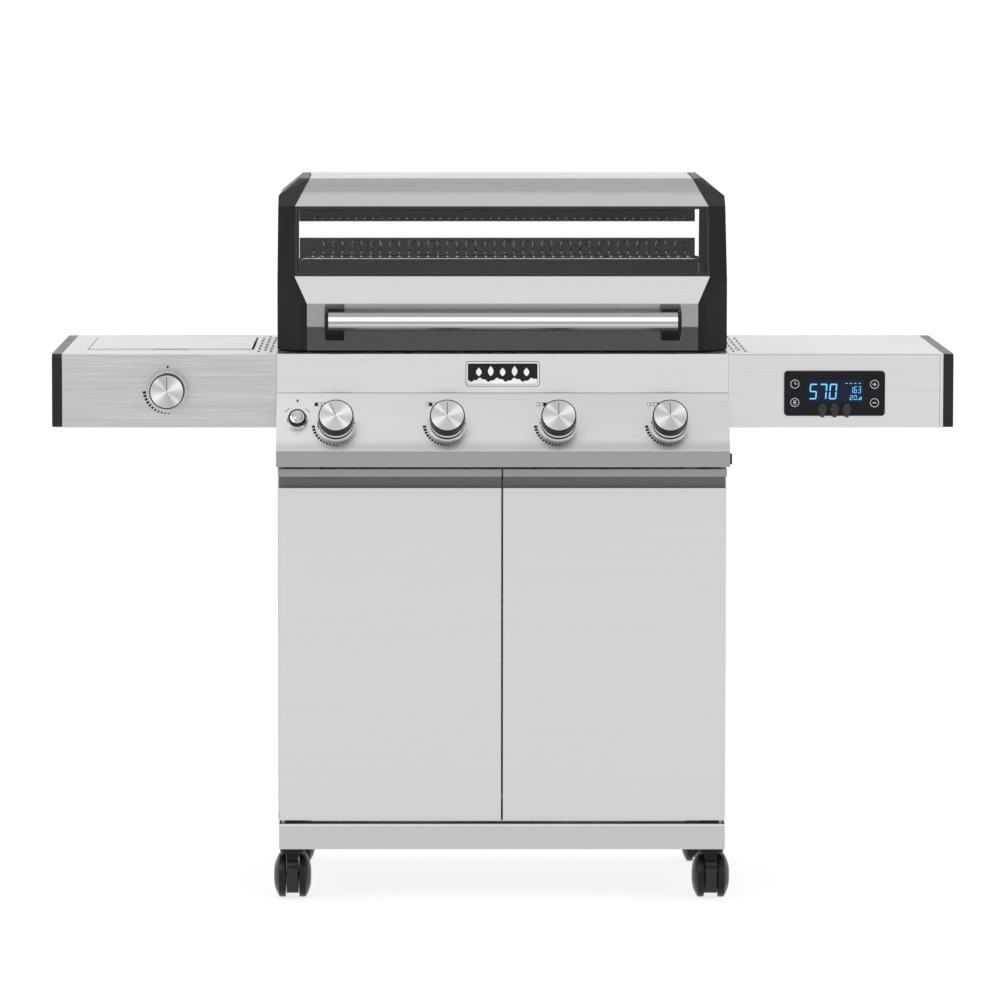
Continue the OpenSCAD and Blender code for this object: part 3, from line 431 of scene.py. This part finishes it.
M["glass"] = glass("window_glass")
M["turned"] = turned("turned_aluminium")
M["lcd"] = painted("lcd_black", (0.006, 0.010, 0.028), rough=0.12, grain=90, depth=0.002 * MM).material
M["segments"] = lit("lcd_segments", (0.10, 0.42, 0.72), 0.75)
M["icons"] = painted("white_icons", (0.62, 0.64, 0.66), rough=0.4).material

# ---------------------------------------------------------------- places, all taken from the CAD
box = {n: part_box(n) for n in nodes}
front = box["fascia"][0].y                       # the fascia's front face
shelf_z = box["right_shelf"][1].z
half_w = box["hood_castings"][1].x
out = -Vector(joints["burner_1_knob_push"]["axis"])
up = out.cross(Vector((1, 0, 0)))                # up the slope of the panel


def axes(x_axis, y_axis, z_axis, origin):
    m = Matrix((x_axis, y_axis, z_axis)).transposed().to_4x4()
    m.translation = origin
    return m


def on_panel(origin):
    return axes(Vector((1, 0, 0)), up, out, origin)


def upright(x, z, y=None):
    """A frame on an upright face: X across, Y up, Z out towards the front."""
    return axes(Vector((1, 0, 0)), Vector((0, 0, 1)), Vector((0, -1, 0)),
                Vector((x, front if y is None else y, z)))


# ---------------------------------------------------------------- finishes of the CAD nodes
def finish(names, material, width=0.6 * MM, segments=2):
    for n in names.split():
        obj = nodes[n]
        obj.data.materials.clear()
        obj.data.materials.append(M[material] if isinstance(material, str) else material)
        if width:
            soften(obj, width, segments)
        else:
            obj.data.shade_flat()


finish("fascia rear_panel bottom_panel", "steel")
# the base frame's folded edge: a painted shade line over a painted highlight line
rim = box["base_frame"][1].z
rim_light_and_shade_bands = [(rim - 1.2 * MM, 1, 0.5), (rim - 3.0 * MM, rim - 1.2 * MM, 1.55)]
finish("base_frame", tone_by_height(M["steel_frame"], rim_light_and_shade_bands, 0.3 * MM), 1.0 * MM)
# painted light: the shelves' top faces made lighter than their fronts, as if lit from above
finish("left_shelf side_burner_lid", tone_by_height(M["steel_coarse"], [(shelf_z - 0.4 * MM, 2, 1.36)]))
finish("right_shelf", tone_by_height(M["steel_shelf"], [(shelf_z - 0.4 * MM, 2, 1.08)]))
# painted highlight along the top edge of the hood shell
hood_top_highlight = [(box["hood_shell"][1].z - 2.2 * MM, 2, 1.2)]
finish("hood_shell", tone_by_height(M["steel_hood"], hood_top_highlight), 1.0 * MM)
finish("side_panels", "steel_side")
finish("hood_castings", "enamel", 1.2 * MM, 3)
finish("handle_brackets", "enamel", 1.2 * MM, 3)
finish("shelf_end_caps", "cap", 2.0 * MM, 3)
# bands painted on the handle, in place of a studio's reflections: millimetres below its top, and the tone
grip = box["hood_handle"][1].z
painted_bands = ((1.5, -1, 0.3), (7.5, 1.5, 0.55), (14.5, 7.5, 1.4), (18, 14.5, 0.48), (22, 18, 0.85),
                 (25, 22, 0.5), (40, 25, 0.3))
handle_bands = [(grip - down * MM, grip - above * MM, tone) for down, above, tone in painted_bands]
finish("hood_handle", tone_by_height(M["handle"], handle_bands, 0.9 * MM), 1.0 * MM)
finish("hood_window", "glass", 0.5 * MM)
# painted light: the firebox liner twice as light from 50 mm above the shelves up, the lower walls left darker
# as shade
finish("firebox", tone_by_height(M["liner"], [(shelf_z + 50 * MM, 2, 2.0)], 8 * MM), 0.8 * MM)
finish("grease_tray side_burner_bowl grease_cup", "zinc", 0.4 * MM)
finish("burner_tubes flame_tamers", "burner", 0.3 * MM)
finish("left_cooking_grate right_cooking_grate side_burner_grate side_burner_head", "iron", 1.0 * MM)
finish("gas_manifold gas_valves", "brass", 0.6 * MM)
finish("valve_stem_1 valve_stem_2 valve_stem_3 valve_stem_4 side_valve_stem hinge_pins", "pin", 0.5 * MM)
finish("control_bezels ignition_button", "chrome", 0.4 * MM)
finish("door_catches", "catch", 0.8 * MM)
finish("display_panel", "gloss", 1.0 * MM, 3)
finish("probe_cover_1 probe_cover_2 probe_cover_3", "rubber", 0.9 * MM, 3)
finish("caster_frame_1 caster_frame_2 caster_frame_3 caster_frame_4", "plastic", 0.8 * MM)
finish("caster_brake_1 caster_brake_2", "pedal", 0.5 * MM)

low_z = box["hood_front_panel"][0].z
knee_z = box["hood_front_panel"][1].z - 42 * MM
hood_steel_painted_shade = brushed("hood_steel_painted_shade", scaled(STEEL, 1.10), rough=0.17, streak=0.02).material
# painted shade and reflection: the upright panel darker below its knee, and much darker in its bottom 38 mm
tone_by_height(hood_steel_painted_shade, [(low_z - 1, knee_z, 0.48), (low_z - 1, low_z + 38 * MM, 0.24)], 1.5 * MM)
finish("hood_front_panel", hood_steel_painted_shade, 0.8 * MM)
panel_steel_painted_shade = brushed("panel_steel_painted_shade", scaled(STEEL, 0.98), streak=0.02).material
lip_top = box["control_panel"][0].z + 25 * MM
# painted shade and reflection: the lip and the top 2.4 mm edge darker, and a soft darker band just above the
# lip
tone_by_height(panel_steel_painted_shade, [(-1, lip_top, 0.54), (box["control_panel"][1].z - 2.4 * MM, 1, 0.5)])
tone_by_height(panel_steel_painted_shade, [(lip_top, lip_top + 13 * MM, 0.80)], 6 * MM)
finish("control_panel", panel_steel_painted_shade, 0)
door_steel_painted_shade = brushed("door_steel_painted_shade", scaled(STEEL, 1.0), streak=0.012).material
door_top = box["left_door"][1].z
pull_low = door_top - 12.5 * MM                  # under the pull lip, where the recess starts
# painted shade: the pull lip darker, and the recess under it darker still
tone_by_height(door_steel_painted_shade, [(pull_low, 1, 0.48), (door_top - 33 * MM, pull_low, 0.21)])
finish("left_door right_door", door_steel_painted_shade, 0.8 * MM)


# ---------------------------------------------------------------- knobs
def turn_piece(name, body, profile, material, place, sides=96, ripple=None, replaces=()):
    bm = bmesh.new()
    lathe(bm, [(r * MM, z * MM) for r, z in profile], sides, ripple)
    piece = new_piece(name, bm, material, body, replaces, place=place)
    return piece


def grip_ripple(r, z, a):
    if 18.5 * MM < z < 33 * MM and r > 26 * MM:
        return r - 0.3 * MM * (0.5 + 0.5 * math.cos(80 * a))
    return r


def knob(node, body, place, turn=0.0):
    place = place @ Matrix.Rotation(turn, 4, "Z")
    skirt = [(0, 8.6), (27.4, 8.6), (27.6, 9.6), (26.0, 11.0), (25.4, 17.5), (0, 17.5)]
    turn_piece(node + "_skirt", body, skirt, M["chrome"], place)
    grip_outline = [(0, 16.8), (27.2, 16.8), (28.0, 17.6), (28.0, 19), (28.0, 32.6), (27.9, 34.2),
                    (27.2, 34.9), (26.6, 34.9), (26.5, 34.4), (0, 34.4)]
    turn_piece(node + "_grip", body, grip_outline, M["plastic"], place, 320,
               grip_ripple, (node,))
    # the face is turned back by the knob's turn, so its painted highlight keeps the same angle on every knob
    turn_piece(node + "_face", body, [(0, 33.5), (26.4, 33.5), (26.4, 34.5), (26.1, 34.8), (9.0, 34.75),
                                      (1.2, 34.7), (0, 34.5)],
               M["turned"], place @ Matrix.Rotation(-turn, 4, "Z"))
    bm = bmesh.new()
    plate(bm, [(x * MM, y * MM) for x, y in ((-0.45, 2), (0.45, 2), (0.45, 22.5), (0, 23.2), (-0.45, 22.5))],
          34.6 * MM, 34.95 * MM)
    new_piece(node + "_pointer", bm, M["ink"], body, place=place)


panel_at = {}
for i in range(1, 5):
    centre = Vector(joints[f"burner_{i}_valve_turn"]["pos_m"])
    panel_at[i] = on_panel(centre)
    turn = math.radians(-joints[f"burner_{i}_valve_turn"]["range_deg"][0])
    knob(f"knob_{i}", f"knob_{i}", panel_at[i], turn)
side_pos = joints["side_burner_valve_turn"]["pos_m"]
side_at = upright(side_pos[0], side_pos[2])
knob("side_knob", "side_knob", side_at)

# the black grip round the ignition button's plunger
button_box = box["ignition_button"]
button_x = (button_box[0].x + button_box[1].x) / 2
top_edge = Vector(joints["burner_1_valve_turn"]["pos_m"])
top_edge = top_edge + up * ((front - top_edge.y) / up.y)
button_at = on_panel(Vector((button_x, top_edge.y, top_edge.z)) - up * 47.6 * MM)
collar = [(10.3, 9.5), (13.7, 9.5), (14.0, 10.0), (14.0, 12.6), (13.3, 13.3), (10.3, 13.3)]
turn_piece("ignition_collar", "ignition_button", collar, M["plastic"], button_at)


# ---------------------------------------------------------------- printed marks on the panels
def marks(name, shapes, place, material="ink", body="root", low=0.0, high=0.12):
    """Thin printed plates: a list of outlines in millimetres."""
    bm = bmesh.new()
    for outline in shapes:
        plate(bm, [(x * MM, y * MM) for x, y in outline], low * MM, high * MM)
    return new_piece(name, bm, M[material], body, smooth=False, place=place)


def bar(cx, cy, w, h, angle=0.0):
    c, s = math.cos(angle), math.sin(angle)
    return [(cx + x * c - y * s, cy + x * s + y * c) for x, y in
            ((-w / 2, -h / 2), (w / 2, -h / 2), (w / 2, h / 2), (-w / 2, h / 2))]


def ring_shapes(cx, cy, r, t, steps=20):
    """A ring as short straight bars."""
    shapes = []
    for i in range(steps):
        a = 2 * math.pi * (i + 0.5) / steps
        shapes.append(bar(cx + r * math.cos(a), cy + r * math.sin(a), t, 2 * math.pi * r / steps * 1.06, a))
    return shapes


def dial(radius=36.5, count=11):
    """Dashes that taper from high to low between nine and six o'clock."""
    shapes = []
    for i in range(count):
        a = math.radians(186 + 86 * i / (count - 1))
        k = 1 - i / (count - 1)
        shapes.append(bar(radius * math.cos(a), radius * math.sin(a), 1.9 + 3.3 * k, 2.5 + 1.7 * k, a))
    return shapes


def burner_boxes(which):
    """Four small boxes in a row, with the one that this knob feeds filled in."""
    shapes = []
    for i in range(4):
        x, y, w, h, t = -32 + 5.3 * i, 35.5, 5.0, 6.4, 0.5
        if i == which:
            shapes.append(bar(x, y, w, h))
            continue
        for dx, dy, ww, hh in ((0, h / 2 - t / 2, w, t), (0, -h / 2 + t / 2, w, t),
                               (w / 2 - t / 2, 0, t, h), (-w / 2 + t / 2, 0, t, h)):
            shapes.append(bar(x + dx, y + dy, ww, hh))
    return shapes


for i in range(1, 5):
    marks(f"dial_marks_{i}", dial(), panel_at[i])
    marks(f"burner_marks_{i}", burner_boxes(i - 1), panel_at[i])
steps = [math.radians(30 * k) for k in range(12)]
off_dot = [(1.9 * math.cos(a), 37 + 1.9 * math.sin(a)) for a in steps]
marks("side_dial_marks", dial(37.5) + [off_dot], side_at)
bolt = [(1.8, 4.6), (-2.8, -0.4), (-0.3, -0.4), (-1.8, -4.6), (2.9, 0.9), (0.4, 0.9)]
bolt = [(x, y + 34) for x, y in bolt]
rays = [bar(side * 16.5, 17.5, 9.5, 0.9, -side * math.radians(40)) for side in (-1, 1)]
marks("ignition_marks", [bolt] + rays, button_at)

# ---------------------------------------------------------------- badge
badge_box = box["badge"]
badge_at = upright((badge_box[0].x + badge_box[1].x) / 2, (badge_box[0].z + badge_box[1].z) / 2)


def scaled_outline(w, h, r):
    return [(x * MM, y * MM) for x, y in rounded_rect(w, h, r)]


bm = bmesh.new()
plate(bm, scaled_outline(118, 40, 5), 0.0, 1.0 * MM)
frame_plate(bm, scaled_outline(115.6, 37.6, 4), scaled_outline(112.2, 34.2, 2.6), 1.0 * MM, 1.45 * MM)
new_piece("badge_plate", bm, M["silver"], "root", ("badge",), smooth=False, place=badge_at)
bm = bmesh.new()
frame_plate(bm, scaled_outline(118, 40, 5), scaled_outline(116, 38, 4.2), 1.0 * MM, 1.2 * MM)
plate(bm, scaled_outline(111.4, 33.4, 2.2), 0.9 * MM, 1.15 * MM)
new_piece("badge_field", bm, M["ink"], "root", smooth=False, place=badge_at)


def flame(cx, base, w, h):
    pts = []
    for i in range(13):
        t = i / 12
        pts.append((cx + w / 2 * math.sin(math.pi * min(1, 1.15 * t)) ** 0.8 * (1 - 0.15 * t), base + h * t))
    left = [(2 * cx - x, y) for x, y in reversed(pts[1:-1])]
    return pts + left


shapes = [flame(-38 + 19 * k, -3.5, 9.5, 15 + 3 * (k % 2)) for k in range(5)]
wave = [(-55, -16), (55, -16)]
for i in range(41):
    wave.append((55 - 110 * i / 40, -9.5 + 2.6 * math.sin(i * 0.62) + 1.2 * math.sin(i * 1.9 + 1)))
marks("badge_shapes", shapes + [wave], badge_at, "white", low=1.1, high=1.4)

# ---------------------------------------------------------------- thermometer
display_box = box["display_panel"]
display_at = upright((display_box[0].x + display_box[1].x) / 2, (display_box[0].z + display_box[1].z) / 2,
                     display_box[0].y)
bm = bmesh.new()
plate(bm, [(x + 1.5 * MM, y + 4.2 * MM) for x, y in scaled_outline(88.5, 35.5, 1.5)], -0.6 * MM, 0.05 * MM)
new_piece("lcd_window", bm, M["lcd"], "root", smooth=False, place=display_at)

SEGMENTS = {"0": "abcdef", "1": "bc", "2": "abged", "3": "abgcd", "5": "afgcd", "6": "afgedc", "7": "abc"}


def digit(char, x, y, w, h, t, slant=0.08):
    """Seven-segment strokes of one digit, from its lower left corner."""
    g = t * 0.25
    half = h / 2
    strokes = {"a": (g, h - t, w - g, h), "g": (g, half - t / 2, w - g, half + t / 2), "d": (g, 0, w - g, t),
               "f": (0, half + g, t, h - g), "b": (w - t, half + g, w, h - g),
               "e": (0, g, t, half - g), "c": (w - t, g, w, half - g)}
    shapes = []
    for key in SEGMENTS[char]:
        x0, y0, x1, y1 = strokes[key]
        cut = min(x1 - x0, y1 - y0) / 2
        if x1 - x0 > y1 - y0:
            middle = (y0 + y1) / 2
            pts = [(x0, middle), (x0 + cut, y0), (x1 - cut, y0), (x1, middle), (x1 - cut, y1), (x0 + cut, y1)]
        else:
            middle = (x0 + x1) / 2
            pts = [(middle, y0), (x1, y0 + cut), (x1, y1 - cut), (middle, y1), (x0, y1 - cut), (x0, y0 + cut)]
        shapes.append([(x + px + slant * py, y + py) for px, py in pts])
    return shapes


lcd_shapes = []
for k, c in enumerate("570"):
    lcd_shapes += digit(c, -41 + 15.8 * k, -9.5, 11.8, 25, 2.0)
for k, c in enumerate("163"):
    lcd_shapes += digit(c, 24 + 6.4 * k, 0.5, 4.8, 10.5, 0.9)
for k, c in enumerate("20"):
    lcd_shapes += digit(c, 24 + 6.4 * k, -10.5, 4.8, 7.5, 0.9)
lcd_shapes += [bar(19 + 7 * k, 16, 3.4, 1.0) for k in range(4)]
lcd_shapes += [bar(38 + 2.2 * k, -9.6 + 0.9 * k, 1.3, 1.8 + 1.8 * k) for k in range(3)]
marks("lcd_digits", lcd_shapes, display_at, "segments", low=0.0, high=0.1)
icons = []
for x, y in ((-63.5, 15), (-63.5, -14.5), (63.8, 14.5), (63.8, -15)):
    icons += ring_shapes(x, y, 6.6, 0.8, 28)
icons += [bar(63.8, 14.5, 6, 1.1), bar(63.8, 14.5, 1.1, 6), bar(63.8, -15, 6, 1.1)]
icons += [bar(-63.5, 16.6, 0.8, 4), bar(-61.9, 15, 3.6, 0.8)]
icons += [bar(-63.5, -17 + 2.5 * k, 5.2 - 1.2 * abs(k - 1), 1.0) for k in range(3)]
marks("display_icons", icons, display_at, "icons", low=0.0, high=0.06)

# ---------------------------------------------------------------- hood interior and window gasket
shell_low, shell_high = box["hood_shell"]
window_high = Vector((shell_low.y, shell_high.z - 44 * MM))
brow = Vector((shell_low.y + 75 * MM, shell_high.z - 2 * MM))
inner_path = [window_high + (brow - window_high) * 0.12, brow, Vector((shell_high.y - 20 * MM, shell_high.z)),
              Vector((shell_high.y, shell_high.z - 10 * MM)), Vector((shell_high.y, shell_low.z + 1 * MM))]


def skin(bm, path, near, far, ends):
    """A sheet along a (y, z) path, between two distances on its right, with its ends' x for each point."""
    def offset(distance):
        points = []
        for i, p in enumerate(path):
            normals = []
            for a, b in ((i - 1, i), (i, i + 1)):
                if a >= 0 and b < len(path):
                    d = (path[b] - path[a]).normalized()
                    normals.append(Vector((d.y, -d.x)))
            n = sum(normals, Vector((0, 0)))
            n = n / (1 + normals[0].dot(normals[-1])) if len(normals) == 2 else n
            points.append(p + distance * n)
        return points
    rows = [[[bm.verts.new((e[side], p.x, p.y)) for p, e in zip(offset(d), ends)] for d in (near, far)]
            for side in (0, 1)]
    n = len(path)
    for i in range(n - 1):
        for x in (0, 1):
            bm.faces.new((rows[x][0][i], rows[x][0][i + 1], rows[x][1][i + 1], rows[x][1][i]))
        for side in (0, 1):
            bm.faces.new((rows[0][side][i], rows[0][side][i + 1], rows[1][side][i + 1], rows[1][side][i]))
    for i in (0, n - 1):
        bm.faces.new((rows[0][0][i], rows[0][1][i], rows[1][1][i], rows[1][0][i]))


def liner_end(z):
    """Half the hood's width between its cast ends at a height."""
    k = min(1, max(0, (z - window_high.y) / (42 * MM)))
    return shell_high.x - 1.5 * MM - 22.5 * MM * k


inner_path.insert(4, Vector((shell_high.y, window_high.y)))
slit = 6 * MM
bm = bmesh.new()
skin(bm, inner_path, 1.8 * MM, 2.4 * MM,
     [(-liner_end(p.y), liner_end(p.y) - (slit if i > 3 else 0)) for i, p in enumerate(inner_path)])
new_piece("hood_liner", bm, M["dark_liner"], "hood")
# painted reflection: a row of small bright zinc domes low on the hood's rear wall, standing in for the
# warming rack's wires mirrored in the rear sheet
bm = bmesh.new()
for i in range(-22, 23):
    lathe(bm, [(0, 0), (1.4 * MM, 0), (1.5 * MM, 0.4 * MM), (1.0 * MM, 0.9 * MM), (0, 1.0 * MM)], 10,
          place=axes(Vector((1, 0, 0)), Vector((0, 0, 1)), Vector((0, -1, 0)),
                     Vector((i * 14 * MM, shell_high.y - 2.3 * MM, shell_low.z + 5 * MM))))
new_piece("rack_reflection_dots", bm, M["zinc"], "hood")

# the black gasket round the window, in the window's own plane
sill = Vector((0, box["hood_front_panel"][0].y + 40 * MM, box["hood_front_panel"][1].z))
slope = (Vector((0, window_high.x, window_high.y)) - sill)
slope_l = slope.length
across = Vector((1, 0, 0))
gasket_at = axes(across, slope.normalized(), across.cross(slope.normalized()), sill + slope / 2)
bm = bmesh.new()
wide, tall = 2000 * shell_high.x, 1000 * slope_l         # millimetres
frame_plate(bm, scaled_outline(wide - 1, tall - 0.6, 2), scaled_outline(wide - 9, tall - 8.6, 3),
            -1.45 * MM, -0.3 * MM, gasket_at)
new_piece("window_gasket", bm, M["rubber"], "hood")

# ---------------------------------------------------------------- warming rack
rack_low, rack_high = box["warming_rack"]
wire = 1.5 * MM
wire_z = rack_high.z - 22.5 * MM
wire_front, wire_back = rack_low.y + 2.5 * MM, rack_high.y - 1 * MM
pitch = 15.8 * MM
bend = 12 * MM


def upturn(x, k):
    """The bend where a wire turns up at the rack's back, in sixths of a quarter turn."""
    a = math.radians(90 * k / 6)
    return x, wire_back - bend + bend * math.sin(a) - wire, wire_z + bend * (1 - math.cos(a))


bm = bmesh.new()
for pair in range(20):
    x0 = (-19.5 + 2 * pair) * pitch
    x1 = x0 + pitch
    top = rack_high.z - wire - pitch / 2
    path = [(x0, wire_front, wire_z), (x0, wire_back - bend, wire_z)]
    path += [upturn(x0, k) for k in range(1, 6)]
    path.append((x0, wire_back - wire, top))
    for k in range(1, 8):
        a = math.pi * k / 8
        path.append((x0 + pitch / 2 * (1 - math.cos(a)), wire_back - wire, top + pitch / 2 * math.sin(a)))
    path.append((x1, wire_back - wire, top))
    path += [upturn(x1, k) for k in range(5, 0, -1)]
    path += [(x1, wire_back - bend, wire_z), (x1, wire_front, wire_z)]
    sweep(bm, path, wire, 8)
for y in (wire_front, (wire_front + wire_back) / 2):
    leg = rack_high.x - 2.5 * MM
    r = 9 * MM
    bend_z = wire_z - 3 * MM - r
    path = [(-leg, y, rack_low.z + 0.2 * MM), (-leg, y, bend_z)]
    for a in (22, 45, 68, 90):
        turn = math.radians(a)
        path.append((-leg + r * (1 - math.cos(turn)), y, bend_z + r * math.sin(turn)))
    path += [(-x, yy, z) for x, yy, z in reversed(path)]
    sweep(bm, path, 2.5 * MM, 10)
new_piece("warming_rack_wires", bm, M["chrome"], "warming_rack", ("warming_rack",))

# ---------------------------------------------------------------- caster wheels
half_gap = 10.8 * MM
AXLE = (Vector((0, 1, 0)), Vector((0, 0, 1)), Vector((1, 0, 0)))

for n, where in enumerate(("front_left", "front_right", "rear_left", "rear_right"), 1):
    low, high = box[f"caster_wheels_{n}"]
    centre = (low + high) / 2
    r = (high.z - low.z) / 2
    half = (high.x - low.x) / 2
    bm = bmesh.new()
    for side in (-1, 1):
        profile = [(4.2 * MM, half_gap), (r - 3 * MM, half_gap), (r - 0.6 * MM, half_gap + 0.5 * MM),
                   (r, half_gap + 1.4 * MM), (r, half - 10 * MM), (r - 0.7 * MM, half - 8.6 * MM)]
        for k in range(1, 10):
            t = k / 10
            profile.append((r - 0.7 * MM - (r - 10 * MM) * t, half - 8.6 * MM * (1 - t) ** 1.9))
        profile += [(9.0 * MM, half), (8.4 * MM, half - 0.9 * MM), (7.8 * MM, half - 0.9 * MM),
                    (7.2 * MM, half), (0, half)]
        place = axes(*AXLE, centre)
        if side < 0:
            place = place @ Matrix.Rotation(math.pi, 4, "Y")
        lathe(bm, profile, 72, place=place)
    hub_end = half_gap + 1 * MM
    hub = [(0, -hub_end), (4.0 * MM, -hub_end), (4.0 * MM, hub_end), (0, hub_end)]
    lathe(bm, hub, 24, place=axes(*AXLE, centre))
    new_piece(f"caster_tyres_{n}", bm, M["wheel"], f"wheels_{where}",
              (f"caster_wheels_{n}",))

# ---------------------------------------------------------------- seams
right_low, right_high = box["right_shelf"]
seam_at = axes(Vector((1, 0, 0)), Vector((0, 0, 1)), Vector((0, -1, 0)), Vector((0, right_low.y, 0)))
left_x, end_x = right_low.x + 0.5 * MM, right_high.x - 6 * MM
top_low, top_high = shelf_z - 1.8 * MM, shelf_z - 1.1 * MM
bm = bmesh.new()
for x0, x1, z0, z1 in ((left_x, end_x, top_low, top_high),
                       (end_x, end_x + 0.6 * MM, right_low.z + 1 * MM, top_high)):
    plate(bm, [(x0, z0), (x1, z0), (x1, z1), (x0, z1)], 0.0, 0.1 * MM, seam_at)
new_piece("shelf_seam", bm, M["grey"], "root", smooth=False)

# ---------------------------------------------------------------- small stops
catch_low, catch_high = box["door_catches"]
bm = bmesh.new()
stop_at = upright(0, catch_high.z + 3 * MM, catch_low.y + 0.4 * MM)
plate(bm, scaled_outline(14, 9, 1.5), -13 * MM, 0.0, stop_at)
new_piece("door_stop", bm, M["catch"], "root", smooth=False)
panel_low, panel_high = box["control_panel"]
bm = bmesh.new()
plate(bm, scaled_outline(14, 17, 3), 0.0, 3.6 * MM,
      axes(Vector((0, 1, 0)), Vector((0, 0, 1)), Vector((1, 0, 0)),
           Vector((panel_high.x, panel_low.y + 13 * MM, panel_low.z + 12 * MM))))
new_piece("panel_stop", bm, M["rubber"], "root", smooth=False)

# ---------------------------------------------------------------- screws
def screw(bm, place, r=4.0):
    lathe(bm, [(0, 0), (r * MM, 0), (r * MM, 0.5 * MM), (r * 0.8 * MM, 1.6 * MM), (r * 0.45 * MM, 2.1 * MM),
               (r * 0.42 * MM, 1.1 * MM), (0, 1.0 * MM)], 24, place=place)


bm = bmesh.new()
rear_low, rear_high = box["rear_panel"]
for s in (-1, 1):
    for z in (rear_low.z + 30 * MM, (rear_low.z + rear_high.z) / 2, rear_high.z - 20 * MM):
        screw(bm, axes(Vector((1, 0, 0)), Vector((0, 0, -1)), Vector((0, 1, 0)),
                       Vector((s * (half_w - 14 * MM), rear_high.y - 0.6 * MM, z))), 3.5)
new_piece("rear_screws", bm, M["pin"], "root")

# ---------------------------------------------------------------- stage
world = bpy.data.worlds.new("studio")
bpy.context.scene.world = world
world.use_nodes = True
world.node_tree.nodes["Background"].inputs["Color"].default_value = (1, 1, 1, 1)
world.node_tree.nodes["Background"].inputs["Strength"].default_value = 1.03

bm = bmesh.new()
bmesh.ops.create_circle(bm, cap_ends=True, segments=96, radius=250)
mesh = bpy.data.meshes.new("studio_floor")
bm.to_mesh(mesh)
bm.free()
floor = bpy.data.objects.new("studio_floor", mesh)
bpy.context.scene.collection.objects.link(floor)
floor_paint = painted("floor_paper", (0.22, 0.22, 0.22), rough=0.9, grain=30, vary=0.01,
                      Emission_Color=(1, 1, 1, 1), Emission_Strength=0.80)
mesh.materials.append(floor_paint.material)


def softbox(name, location, target, size, watts):
    light = bpy.data.lights.new(name, "AREA")
    light.shape = "RECTANGLE"
    light.size, light.size_y = size
    light.energy = watts
    lamp = bpy.data.objects.new(name, light)
    lamp.location = location
    lamp.rotation_mode = "QUATERNION"
    lamp.rotation_quaternion = (Vector(target) - Vector(location)).to_track_quat("-Z", "Y")
    bpy.context.scene.collection.objects.link(lamp)


softbox("key", (-2.2, -3.2, 3.4), (0, 0, 0.7), (2.4, 2.4), 40)
softbox("fill", (2.6, -3.4, 2.2), (0, 0, 0.6), (2.4, 2.4), 20)

camera_data = bpy.data.cameras.new("camera")
camera_data.sensor_width = 36
camera_data.lens = 199.1
camera_data.shift_x = 0.08
camera_data.shift_y = -0.12
camera_data.clip_start = 0.1
camera_data.clip_end = 300
camera = bpy.data.objects.new("camera", camera_data)
camera.location = (-0.132, -9.0, 1.507)
camera.rotation_euler = (math.radians(90 - 4.31), 0, 0)
bpy.context.scene.collection.objects.link(camera)
bpy.context.scene.camera = camera
bpy.context.scene.view_settings.view_transform = "Standard"
